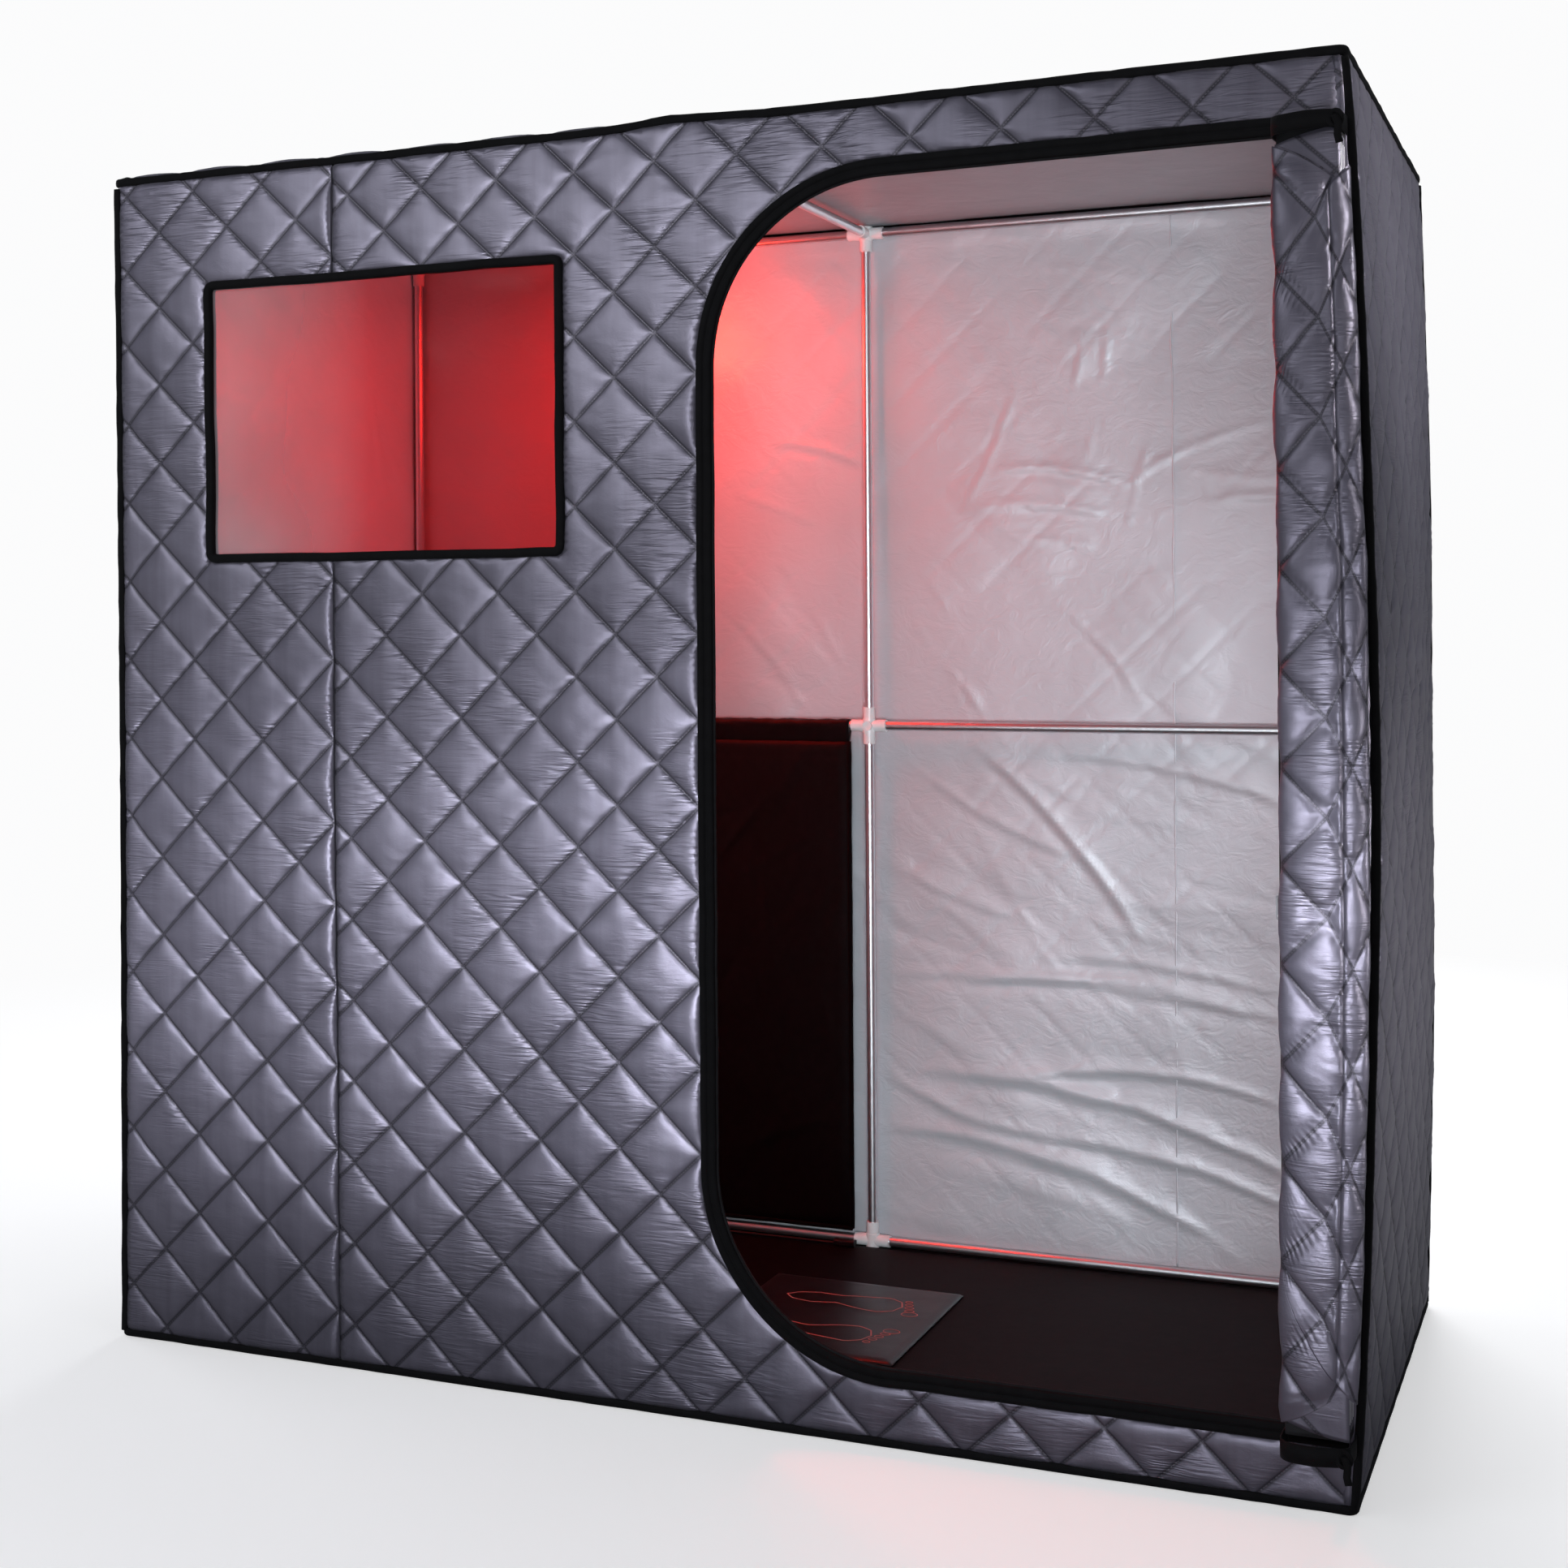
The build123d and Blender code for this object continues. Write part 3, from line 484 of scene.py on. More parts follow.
def cloth_black(name, col=(0.0022, 0.0022, 0.0027), rough=0.75, sheen=0.03, rib=True):
    m, t, b = nt(name)
    n = noise_node(t, mapped(t, (60, 60, 60)), 1.0, 3)
    L(t, ramp(t, n, [(0.3, col), (0.75, tuple(c * 1.9 + 0.0008 for c in col))]), b.inputs["Base Color"])
    b.inputs["Roughness"].default_value = rough
    b.inputs["Specular IOR Level"].default_value = 0.2
    b.inputs["Sheen Weight"].default_value = sheen
    weave = noise_node(t, mapped(t, (1100, 1100, 1100)), 1.0, 2)
    nrm = bump(t, weave, 0.5, 0.0005)
    if rib:
        w = t.nodes.new("ShaderNodeTexWave")
        w.inputs["Scale"].default_value = 260.0
        w.bands_direction = "DIAGONAL"
        L(t, mapped(t, (1, 1, 1)), w.inputs["Vector"])
        nrm = bump(t, w.outputs["Fac"], 0.35, 0.0005, nrm)
    L(t, nrm, b.inputs["Normal"])
    return m


def metal(name, col=(0.80, 0.81, 0.83), rough=0.27):
    m, t, b = nt(name)
    n = noise_node(t, mapped(t, (7, 7, 7)), 1.0, 4)
    L(t, ramp(t, n, [(0.2, tuple(c * 0.82 for c in col)), (0.8, col)]), b.inputs["Base Color"])
    b.inputs["Metallic"].default_value = 1.0
    fine = noise_node(t, mapped(t, (60, 60, 60)), 1.0, 3)
    rr = t.nodes.new("ShaderNodeMapRange"); L(t, fine, rr.inputs[0])
    rr.inputs["To Min"].default_value = rough - 0.05; rr.inputs["To Max"].default_value = rough + 0.07
    L(t, rr.outputs[0], b.inputs["Roughness"])
    L(t, bump(t, fine, 0.06, 0.0002), b.inputs["Normal"])
    return m


def plastic(name, col, rough=0.35, trans=0.0, sub=0.0):
    m, t, b = nt(name)
    n = noise_node(t, mapped(t, (45, 45, 45)), 1.0, 3)
    L(t, ramp(t, n, [(0.3, tuple(c * 0.93 for c in col)), (0.7, col)]), b.inputs["Base Color"])
    b.inputs["Roughness"].default_value = rough
    b.inputs["Subsurface Weight"].default_value = sub
    b.inputs["Subsurface Radius"].default_value = (0.01, 0.01, 0.01)
    fine = noise_node(t, mapped(t, (520, 520, 520)), 1.0, 2)
    L(t, bump(t, fine, 0.2, 0.0003), b.inputs["Normal"])
    return m


QUILT = quilt_material("quilt_satin")
QUILT_SEAM = cloth_black("seam_thread", (0.035, 0.033, 0.043), 0.5, 0.02)
LINING = lining_material("silver_lining")
# painted shade: the roof's copy of the silver lining takes a much darker tone than the walls' lining
LINING_ROOF_SHADED = lining_material("silver_lining_roof", (0.27, 0.265, 0.29))
BLACK = cloth_black("black_binding")
ZIPTAPE = cloth_black("black_zip_tape", (0.008, 0.008, 0.009), 0.6, 0.02)
TUBE = metal("satin_tube", (0.80, 0.81, 0.83), 0.33)
ZIPMETAL = metal("plated_metal", (0.30, 0.30, 0.315), 0.4)
CONNECTOR = plastic("white_connector", (0.86, 0.86, 0.85), 0.32, sub=0.35)
RUBBER = plastic("black_rubber", (0.018, 0.018, 0.019), 0.5)
CASE = plastic("black_case", (0.03, 0.03, 0.033), 0.42)
BUTTON = plastic("grey_button", (0.42, 0.42, 0.44), 0.45)
LAMPWHITE = plastic("white_lamp", (0.84, 0.84, 0.82), 0.3)
FILM = plastic("carbon_film", (0.03, 0.025, 0.02), 0.35)
HEATCLOTH = cloth_black("heater_cloth", (0.0036, 0.0025, 0.003), 0.50, 0.04, rib=False)
HEATCLOTH.node_tree.nodes["Principled BSDF"].inputs["Specular IOR Level"].default_value = 0.22
FLOORCLOTH = cloth_black("floor_cloth", (0.006, 0.0028, 0.0034), 0.6, 0.0, rib=False)
FLOORCLOTH.node_tree.nodes["Principled BSDF"].inputs["Specular IOR Level"].default_value = 0.08
UNDERCLOTH = cloth_black("under_cloth", (0.012, 0.012, 0.013), 0.6, 0.05)


def leather(name):
    m, t, b = nt(name)
    n = noise_node(t, mapped(t, (30, 30, 30)), 1.0, 3)
    L(t, ramp(t, n, [(0.3, (0.013, 0.012, 0.013)), (0.7, (0.024, 0.021, 0.023))]), b.inputs["Base Color"])
    b.inputs["Roughness"].default_value = 0.36
    v = t.nodes.new("ShaderNodeTexVoronoi"); v.inputs["Scale"].default_value = 520.0
    L(t, mapped(t, (1, 1, 1)), v.inputs["Vector"])
    nrm = bump(t, v.outputs["Distance"], 0.35, 0.0005)
    L(t, nrm, b.inputs["Normal"])
    return m


LEATHER = leather("grained_leatherette")
PRINT = plastic("red_print", (0.80, 0.36, 0.31), 0.5)


def window_material():
    m = bpy.data.materials.new("clear_film"); m.use_nodes = True
    t = m.node_tree
    for n in list(t.nodes):
        if n.type != "OUTPUT_MATERIAL":
            t.nodes.remove(n)
    out = [n for n in t.nodes if n.type == "OUTPUT_MATERIAL"][0]
    lpn = t.nodes.new("ShaderNodeLightPath")
    # painted red glow: camera rays see through the clear film tinted pink, standing in for the red lamp light inside;
    # other rays pass 0.30 of the light
    painted_glow_tint = t.nodes.new("ShaderNodeMix"); painted_glow_tint.data_type = "RGBA"
    L(t, lpn.outputs["Is Camera Ray"], painted_glow_tint.inputs[0])
    painted_glow_tint.inputs[6].default_value = (0.30, 0.30, 0.30, 1); painted_glow_tint.inputs[7].default_value = (0.82, 0.53, 0.57, 1)
    tr = t.nodes.new("ShaderNodeBsdfTransparent"); L(t, painted_glow_tint.outputs[2], tr.inputs[0])
    gl = t.nodes.new("ShaderNodeBsdfGlossy"); gl.inputs["Roughness"].default_value = 0.16
    gl.inputs["Color"].default_value = (0.55, 0.55, 0.57, 1)
    painted_reflection_diffuse = t.nodes.new("ShaderNodeBsdfDiffuse"); painted_reflection_diffuse.inputs[0].default_value = (0.75, 0.72, 0.74, 1)
    fr = t.nodes.new("ShaderNodeFresnel"); fr.inputs["IOR"].default_value = 1.22
    wv = noise_node(t, mapped(t, (4, 4, 3)), 1.0, 2)
    nb = bump(t, wv, 0.10, 0.006)
    L(t, nb, gl.inputs["Normal"])
    # painted reflection: a whitish diffuse haze towards the upper left of the film stands in for the reflection of a
    # softbox
    geo = t.nodes.new("ShaderNodeNewGeometry")
    sp = t.nodes.new("ShaderNodeSeparateXYZ"); L(t, geo.outputs["Position"], sp.inputs[0])
    left = t.nodes.new("ShaderNodeMapRange"); L(t, sp.outputs[0], left.inputs[0])
    left.inputs["From Min"].default_value = -0.72; left.inputs["From Max"].default_value = -0.47
    left.inputs["To Min"].default_value = 1.0; left.inputs["To Max"].default_value = 0.0
    hz = noise_node(t, mapped(t, (3, 3, 2.2)), 1.0, 2)
    painted_reflection_mask = math_(t, "MULTIPLY", left.outputs[0], math_(t, "MULTIPLY", hz, 0.95, clamp=True), clamp=True)
    painted_reflection_mix = t.nodes.new("ShaderNodeMixShader")
    L(t, math_(t, "MULTIPLY", painted_reflection_mask, math_(t, "SUBTRACT", 1.0, geo.outputs["Backfacing"])), painted_reflection_mix.inputs[0])
    L(t, tr.outputs[0], painted_reflection_mix.inputs[1]); L(t, painted_reflection_diffuse.outputs[0], painted_reflection_mix.inputs[2])
    mx = t.nodes.new("ShaderNodeMixShader")
    front = math_(t, "SUBTRACT", 1.0, geo.outputs["Backfacing"])
    L(t, math_(t, "MULTIPLY", fr.outputs[0], front), mx.inputs[0]); L(t, painted_reflection_mix.outputs[0], mx.inputs[1]); L(t, gl.outputs[0], mx.inputs[2])
    L(t, mx.outputs[0], out.inputs["Surface"])
    return m


def lens_material():
    m, t, b = nt("red_lens")
    w = t.nodes.new("ShaderNodeTexVoronoi"); w.inputs["Scale"].default_value = 90
    L(t, mapped(t, (1, 1, 1)), w.inputs["Vector"])
    L(t, ramp(t, w.outputs["Distance"], [(0.1, (0.9, 0.05, 0.03)), (0.7, (0.6, 0.02, 0.015))]), b.inputs["Base Color"])
    b.inputs["Roughness"].default_value = 0.25
    b.inputs["Emission Color"].default_value = (1.0, 0.05, 0.02, 1)
    b.inputs["Emission Strength"].default_value = 7.0
    L(t, bump(t, w.outputs["Distance"], 0.4, 0.001), b.inputs["Normal"])
    return m


WINDOW = window_material()
LENS = lens_material()

# ------------------------------------------------------------------ pillow swatch, by cloth simulation
SW_N, SW_M = 5, 18


def pillow(du, dv):
    """Plain pillow height, 0 at the stitching, 1 in the middle; du, dv are 0..1 from the stitch line."""
    return (1 - (1 - du) ** 2.6) ** 0.75 * (1 - (1 - dv) ** 2.6) ** 0.75


def smooth_cell(c, times):
    """Even out single-vertex noise inside a diamond, leaving its stitched edges alone."""
    c = c.copy()
    for _ in range(times):
        q = (c[:-2, 1:-1] + c[2:, 1:-1] + c[1:-1, :-2] + c[1:-1, 2:]) / 4
        c[1:-1, 1:-1] = 0.35 * c[1:-1, 1:-1] + 0.65 * q
    return c


def simulate_swatch():
    """Five by five diamonds of satin, stitched along their edges and filled by pressure."""
    n = SW_N * SW_M + 1
    g = np.arange(n) / SW_M
    U, V = np.meshgrid(g, g, indexing="ij")
    X, Z = (U + V) / 2 * PX_, (U - V) / 2 * PZ_
    fr = lambda a: 1 - 2 * np.abs(a - np.floor(a) - 0.5)
    dome = pillow(fr(U), fr(V))
    rg = np.random.default_rng(4)
    Y = -(5.0 + 0.5 * rg.normal(size=dome.shape)) * dome
    co = np.stack([X, Y, Z], -1).reshape(-1, 3)
    ob = make("swatch", co, grid_faces(n, n), QUILT)
    if ob.data.polygons[0].normal[1] > 0:
        ob.data.flip_normals()
    vg = ob.vertex_groups.new(name="pin")
    ii, jj = np.meshgrid(np.arange(n), np.arange(n), indexing="ij")
    pin = ((ii % SW_M == 0) | (jj % SW_M == 0)).ravel()
    vg.add([int(k) for k in np.nonzero(pin)[0]], 1.0, "REPLACE")
    c = ob.modifiers.new("cloth", "CLOTH")
    s = c.settings
    s.quality = 8; s.mass = 0.3
    s.tension_stiffness = 6; s.compression_stiffness = 6; s.shear_stiffness = 5; s.bending_stiffness = 0.12
    s.tension_damping = 5; s.compression_damping = 5; s.shear_damping = 5; s.bending_damping = 0.5; s.air_damping = 1
    s.vertex_group_mass = "pin"; s.pin_stiffness = 1.0
    s.use_pressure = True; s.uniform_pressure_force = 9.0
    s.shrink_min = -0.014; s.shrink_max = -0.014
    s.effector_weights.gravity = 0
    c.collision_settings.use_collision = False
    sc = bpy.context.scene
    for f in range(1, 22):
        sc.frame_set(f)
    ev = ob.evaluated_get(bpy.context.evaluated_depsgraph_get())
    out = np.zeros(n * n * 3, np.float32)
    ev.data.vertices.foreach_get("co", out)
    out = out.reshape(n, n, 3).astype(float) * 1000
    disp = out - np.stack([X, X * 0, Z], -1)
    sc.frame_set(1)
    bpy.data.objects.remove(ob)
    cells = []
    for a in range(SW_N):
        for b in range(SW_N):
            cell = disp[a * SW_M:(a + 1) * SW_M + 1, b * SW_M:(b + 1) * SW_M + 1]
            cells.append(smooth_cell(cell, 3))
    cells = np.array(cells)
    mid = -cells[:, SW_M // 2, SW_M // 2, 1].mean()
    if not 2.0 < mid < 20.0:
        raise RuntimeError("swatch did not settle")
    cells *= 1.0 / mid
    cells[..., 1] = np.clip(cells[..., 1], -1.25, 0.0)
    cells[..., 0] = np.clip(cells[..., 0], -0.15, 0.15)
    cells[..., 2] = np.clip(cells[..., 2], -0.15, 0.15)
    return cells


CELLS = None
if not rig.quick():
    try:
        CELLS = simulate_swatch()
    except RuntimeError:
        CELLS = None
if CELLS is None:
    g = np.arange(SW_M + 1) / SW_M
    fr = 1 - 2 * np.abs(g - 0.5)
    A, B = np.meshgrid(fr, fr, indexing="ij")
    base = np.zeros((SW_M + 1, SW_M + 1, 3)); base[..., 1] = -pillow(A, B)
    CELLS = np.array([base] * 25)


def sample(u, v, seed):
    """Displacement of the swatch cells at lattice coordinates: (dx, out, dz), 1 = full height."""
    a, b = np.floor(u + 1e-6), np.floor(v + 1e-6)
    fu, fv = np.clip(u - a, 0, 1) * SW_M, np.clip(v - b, 0, 1) * SW_M
    c = ((_h(a, b, seed) * 0.5 + 0.5) * 24.999).astype(int)
    i, j = np.minimum(fu.astype(int), SW_M - 1), np.minimum(fv.astype(int), SW_M - 1)
    s, t_ = (fu - i)[:, None], (fv - j)[:, None]
    d = (CELLS[c, i, j] * (1 - s) * (1 - t_) + CELLS[c, i + 1, j] * s * (1 - t_)
         + CELLS[c, i, j + 1] * (1 - s) * t_ + CELLS[c, i + 1, j + 1] * s * t_)
    amp = 1.0 + 0.15 * _h(a, b, seed + 5)
    d = d * amp[:, None]
    # the thread pulls a narrow valley into the wadding
    e = lambda q: 0.5 - np.abs(q - np.floor(q) - 0.5)
    g = (1 - np.exp(-(e(u + 1e-9) / 0.05) ** 1.3)) * (1 - np.exp(-(e(v + 1e-9) / 0.05) ** 1.3))
    d[:, 1] = 0.62 * d[:, 1] - 0.38 * g
    return d


TS = np.array([0, .022, .05, .085, .13, .19, .27, .36, .45, .55, .64, .73, .81, .87, .915, .95, .978])


def quilt_sheet(name, x0, z0, rng_x, rng_z, sdf, place, puff=5.6, px=PX_, pz=PZ_, seed=3, thickness=3.0, mat=None, soft=24.0, slack=None):
    """A quilted sheet: the diamond lattice fitted to an outline. sdf(x, z) is positive inside, in mm.
    place(x, z, out) gives the 3-D point, where out is the height outwards from the cover's face."""
    per = len(TS)
    ulo = math.floor((rng_x[0] - x0) / px + (rng_z[0] - z0) / pz) - 1
    uhi = math.ceil((rng_x[1] - x0) / px + (rng_z[1] - z0) / pz) + 1
    vlo = math.floor((rng_x[0] - x0) / px - (rng_z[1] - z0) / pz) - 1
    vhi = math.ceil((rng_x[1] - x0) / px - (rng_z[0] - z0) / pz) + 1
    us = (np.arange(ulo, uhi)[:, None] + TS[None, :]).ravel()
    vs = (np.arange(vlo, vhi)[:, None] + TS[None, :]).ravel()
    U, V = np.meshgrid(us, vs, indexing="ij")
    X = x0 + (U + V) / 2 * px
    Z = z0 + (U - V) / 2 * pz
    nu, nv = len(us), len(vs)
    f = grid_faces(nu, nv)
    x, z = X.ravel(), Z.ravel()
    cx, cz = x[f].mean(1), z[f].mean(1)
    keep = sdf(cx, cz) > 0
    f = f[keep]
    used = np.unique(f)
    remap = -np.ones(nu * nv, int); remap[used] = np.arange(len(used))
    f = remap[f]
    x, z, u, v = x[used], z[used], U.ravel()[used], V.ravel()[used]
    # boundary vertices slide onto the outline
    e = np.concatenate([f[:, [0, 1]], f[:, [1, 2]], f[:, [2, 3]], f[:, [3, 0]]])
    e.sort(axis=1)
    key, cnt = np.unique(e[:, 0].astype(np.int64) * len(used) + e[:, 1], return_counts=True)
    bk = key[cnt == 1]
    bv = np.unique(np.r_[bk // len(used), bk % len(used)])
    for _ in range(3):
        d = sdf(x[bv], z[bv])
        gx = (sdf(x[bv] + 0.5, z[bv]) - sdf(x[bv] - 0.5, z[bv]))
        gz = (sdf(x[bv], z[bv] + 0.5) - sdf(x[bv], z[bv] - 0.5))
        g2 = np.maximum(gx * gx + gz * gz, 0.2)
        x[bv] -= d * gx / g2
        z[bv] -= d * gz / g2
    dist = sdf(x, z)
    fade = 0.12 + 0.88 * sm(dist / soft)
    # pinched stitch crossings and fabric that is a little slack between them
    d = sample(u, v, seed)
    out = -d[:, 1] * puff * fade - 2.6
    out += 0.5 * fbm(x / 26, z / 9, seed + 40, 2) * fade
    if slack:
        out += slack * creases(x, z, 90, seed + 60, rng_x, (rng_z[0] + 0.25 * (rng_z[1] - rng_z[0]), rng_z[0] + 0.85 * (rng_z[1] - rng_z[0])), (40, 190), (5, 9), (0.8, 2.6), 8, 16) * fade
    x2 = x + d[:, 0] * puff * 0.5 * fade
    z2 = z + d[:, 2] * puff * 0.5 * fade
    P = place(x2, z2, out)
    ob = make(name, P, f, mat or QUILT, uv=np.stack([u, v], 1))
    # face direction outwards
    me = ob.data
    c = P[f].mean(1)
    nrm = np.cross(P[f[:, 1]] - P[f[:, 0]], P[f[:, 3]] - P[f[:, 0]])
    test = place(np.array([0.0]), np.array([900.0]), np.array([10.0])) - place(np.array([0.0]), np.array([900.0]), np.array([0.0]))
    if (nrm.mean(0) @ test[0]) < 0:
        me.flip_normals()
    solidify(ob, thickness, -1.0)
    return ob


def rect_sdf(x, z, x0, x1, z0, z1):
    return np.minimum(np.minimum(x - x0, x1 - x), np.minimum(z - z0, z1 - z))


def door_sdf(x, z, grow):
    """Positive inside the doorway grown by grow; open to the right."""
    r = DOOR_R + grow
    cx = DOOR_X + DOOR_R
    czl, czh = DOOR_Z0 + DOOR_R, DOOR_Z1 - DOOR_R
    d = np.minimum(np.minimum(x - (DOOR_X - grow), z - (DOOR_Z0 - grow)), (DOOR_Z1 + grow) - z)
    lowc = (x < cx) & (z < czl)
    hic = (x < cx) & (z > czh)
    d = np.where(lowc, r - np.hypot(x - cx, z - czl), d)
    d = np.where(hic, r - np.hypot(x - cx, z - czh), d)
    return d


wl, wh = mmbox("window_pane")
WX0, WX1, WZ0, WZ1 = wl[0] + 6, wh[0] - 6, wl[2] + 6, wh[2] - 6


def front_sdf(x, z):
    d = rect_sdf(x, z, -HX + 10, HX - 10, 10, H - 10)
    d = np.minimum(d, -door_sdf(x, z, TAPE - 3))
    w = rect_sdf(x, z, WX0 - 9, WX1 + 9, WZ0 - 9, WZ1 + 9)
    return np.minimum(d, -w)


def place_front(x, z, out):
    p = np.stack([x, np.full_like(x, -HY) - out, z], 1)
    return warp(p)


def place_back(x, z, out):
    return warp(np.stack([x, np.full_like(x, HY) + out, z], 1))


def place_left(y, z, out):
    return warp(np.stack([np.full_like(y, -HX) - out, y, z], 1))


def place_right(y, z, out):
    return warp(np.stack([np.full_like(y, HX) + out, y, z], 1))


def place_roof(x, y, out):
    return warp(np.stack([x, y, np.full_like(x, H) + out], 1))


def piece(ob, body, slot, *replaced):
    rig.ride(ob, body)
    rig.slot(ob, slot)
    if replaced:
        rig.replaces(ob, *replaced)
    return ob


def side_outline(x, z):
    return rect_sdf(x, z, -HY + 10, HY - 10, 10, H - 10)


# front panel: two lattices meeting at the fabric join
ob = quilt_sheet("front_quilt_left", -847, 746, (-HX, SEAM_X), (0, H),
                 lambda x, z: np.minimum(front_sdf(x, z), SEAM_X - x), place_front, px=125, pz=120.5, seed=3, soft=8)
piece(ob, "cabin", "quilt_fabric", "front_panel")
ob = quilt_sheet("front_quilt_right", -506, 784, (SEAM_X, HX), (0, H),
                 lambda x, z: np.minimum(front_sdf(x, z), x - SEAM_X), place_front, seed=4, soft=8)
piece(ob, "cabin", "quilt_fabric")
ob = quilt_sheet("back_quilt_left", -880, 746, (-HX, 533), (0, H),
                 lambda x, z: np.minimum(rect_sdf(x, z, -HX + 10, HX - 10, 10, H - 10), 533 - x), place_back, seed=6, soft=8, slack=0.5)
piece(ob, "cabin", "quilt_fabric", "back_panel")
ob = quilt_sheet("back_quilt_right", 560, 784, (533, HX), (0, H),
                 lambda x, z: np.minimum(rect_sdf(x, z, -HX + 10, HX - 10, 10, H - 10), x - 533), place_back, seed=7, soft=8, slack=0.5)
piece(ob, "cabin", "quilt_fabric")
PORT_Y, PORT_Z = -300.0, 70.0
ob = quilt_sheet("left_quilt", -380, 770, (-HY, HY), (0, H),
                 lambda y, z: np.minimum(side_outline(y, z), np.hypot(y - PORT_Y, z - PORT_Z) - 27), place_left, seed=8, slack=0.7)
piece(ob, "cabin", "quilt_fabric", "left_panel")
ob = quilt_sheet("right_quilt", -402, 742, (-HY, HY), (0, H), side_outline, place_right, seed=9, slack=1.1)
piece(ob, "cabin", "quilt_fabric", "right_panel")
ob = quilt_sheet("roof_quilt", -880, 20, (-HX, HX), (-HY, HY),
                 lambda x, y: rect_sdf(x, y, -HX + 10, HX - 10, -HY + 10, HY - 10), place_roof, seed=10, puff=5.0)
piece(ob, "cabin", "quilt_fabric", "roof_panel")

# stitched joins: a flat felled seam with its thread
for nm, sx, pl in (("front_join", SEAM_X, place_front), ("back_join", 533.0, place_back)):
    zs = np.arange(14, H - 12, 7.0)
    if nm == "front_join":
        zs = zs[(zs < WZ0 - 12) | (zs > WZ1 + 12)]
    groups = np.split(zs, np.nonzero(np.diff(zs) > 10)[0] + 1)
    for gi, g in enumerate(groups):
        path = pl(np.full_like(g, sx) + 0.6 * noise(g / 40, g * 0, 21), g, np.full_like(g, -1.2) + 0.5 * noise(g / 12, g * 0, 22))
        ob = sweep(f"{nm}_{gi}", path, superellipse(1.3, 0.6, 8), QUILT_SEAM, up=(0, 1, 0), wob=0.3)
        piece(ob, "cabin", "quilt_fabric")

# ------------------------------------------------------------------ edge binding
def ring(z, inset, seed):
    r = 7.0
    X, Y = HX - inset, HY - inset
    pts = []
    for cx, cy, a0 in ((X - r, Y - r, 0), (-X + r, Y - r, 90), (-X + r, -Y + r, 180), (X - r, -Y + r, 270)):
        for k in range(5):
            a = math.radians(a0 + 22.5 * k)
            pts.append((cx + r * math.cos(a), cy + r * math.sin(a), z))
    return dense(pts, 14.0, closed=True)


prof = superellipse(6.6, 6.6, 12, 3.0)
ob = sweep("roof_edge_piping", warp(ring(H - 6.0, 6.0, 1)), prof, BLACK, closed=True, wob=0.10, seed=3)
piece(ob, "cabin", "binding_fabric", "roof_edge_binding")
ob = sweep("floor_edge_piping", warp(ring(6.7, 6.0, 2)), prof, BLACK, closed=True, wob=0.06, seed=4)
piece(ob, "cabin", "binding_fabric", "floor_edge_binding")
zs = np.arange(9, H - 6, 12.0)
for i, (sx, sy) in enumerate([(-1, -1), (1, -1), (-1, 1), (1, 1)]):
    p = warp(np.stack([np.full_like(zs, sx * (HX - 6)), np.full_like(zs, sy * (HY - 6)), zs], 1))
    ob = sweep(f"corner_piping_{i}", p, prof, BLACK, up=(0, 1, 0), wob=0.10, seed=5 + i)
    piece(ob, "cabin", "binding_fabric", *(["corner_edge_bindings"] if i == 0 else []))


# ------------------------------------------------------------------ doorway tape, zip and window frame
def door_path(off, step=12.0, right=None):
    """Points along the doorway edge at an offset outwards, with the outward direction."""
    right = HX - 14 if right is None else right
    cx, czl, czh, r = DOOR_X + DOOR_R, DOOR_Z0 + DOOR_R, DOOR_Z1 - DOOR_R, DOOR_R + off
    p, n = [], []
    for x in np.linspace(right, cx, int((right - cx) / step)):
        p.append((x, DOOR_Z1 + off)); n.append((0, 1))
    for a in np.radians(np.linspace(90, 180, 34))[1:-1]:
        p.append((cx + r * math.cos(a), czh + r * math.sin(a))); n.append((math.cos(a), math.sin(a)))
    for z in np.linspace(czh, czl, int((czh - czl) / step)):
        p.append((DOOR_X - off, z)); n.append((-1, 0))
    for a in np.radians(np.linspace(180, 270, 34))[1:-1]:
        p.append((cx + r * math.cos(a), czl + r * math.sin(a))); n.append((math.cos(a), math.sin(a)))
    for x in np.linspace(cx, right, int((right - cx) / step)):
        p.append((x, DOOR_Z0 - off)); n.append((0, -1))
    return np.array(p), np.array(n)


def band(name, profile, mat, wobble=0.7, seed=30, closed=False, path=None, smooth=True):
    """Profile (offset outwards, y) carried round the doorway edge."""
    p, n = path or door_path(0.0)
    d = np.r_[0, np.cumsum(np.linalg.norm(np.diff(p, axis=0), axis=1))]
    w = wobble * noise(d / 60, d * 0 + 0.2, seed)
    prof = np.array(profile, float)
    m = len(prof)
    off = prof[None, :, 0] + w[:, None]
    X = p[:, None, 0] + n[:, None, 0] * off
    Z = p[:, None, 1] + n[:, None, 1] * off
    Y = np.tile(prof[None, :, 1], (len(p), 1)) + 0.5 * noise(d / 45, d * 0 + 0.7, seed + 1)[:, None]
    v = warp(np.stack([X, Y, Z], -1).reshape(-1, 3))
    faces = grid_faces(len(p), m, closed_u=closed, closed_v=True).tolist()
    if not closed:
        faces += [list(range(m))[::-1], [(len(p) - 1) * m + i for i in range(m)]]
    ob = make(name, v, faces, mat, smooth=smooth)
    import bmesh
    bm = bmesh.new(); bm.from_mesh(ob.data)
    bmesh.ops.recalc_face_normals(bm, faces=bm.faces)
    bm.to_mesh(ob.data); bm.free()
    return ob


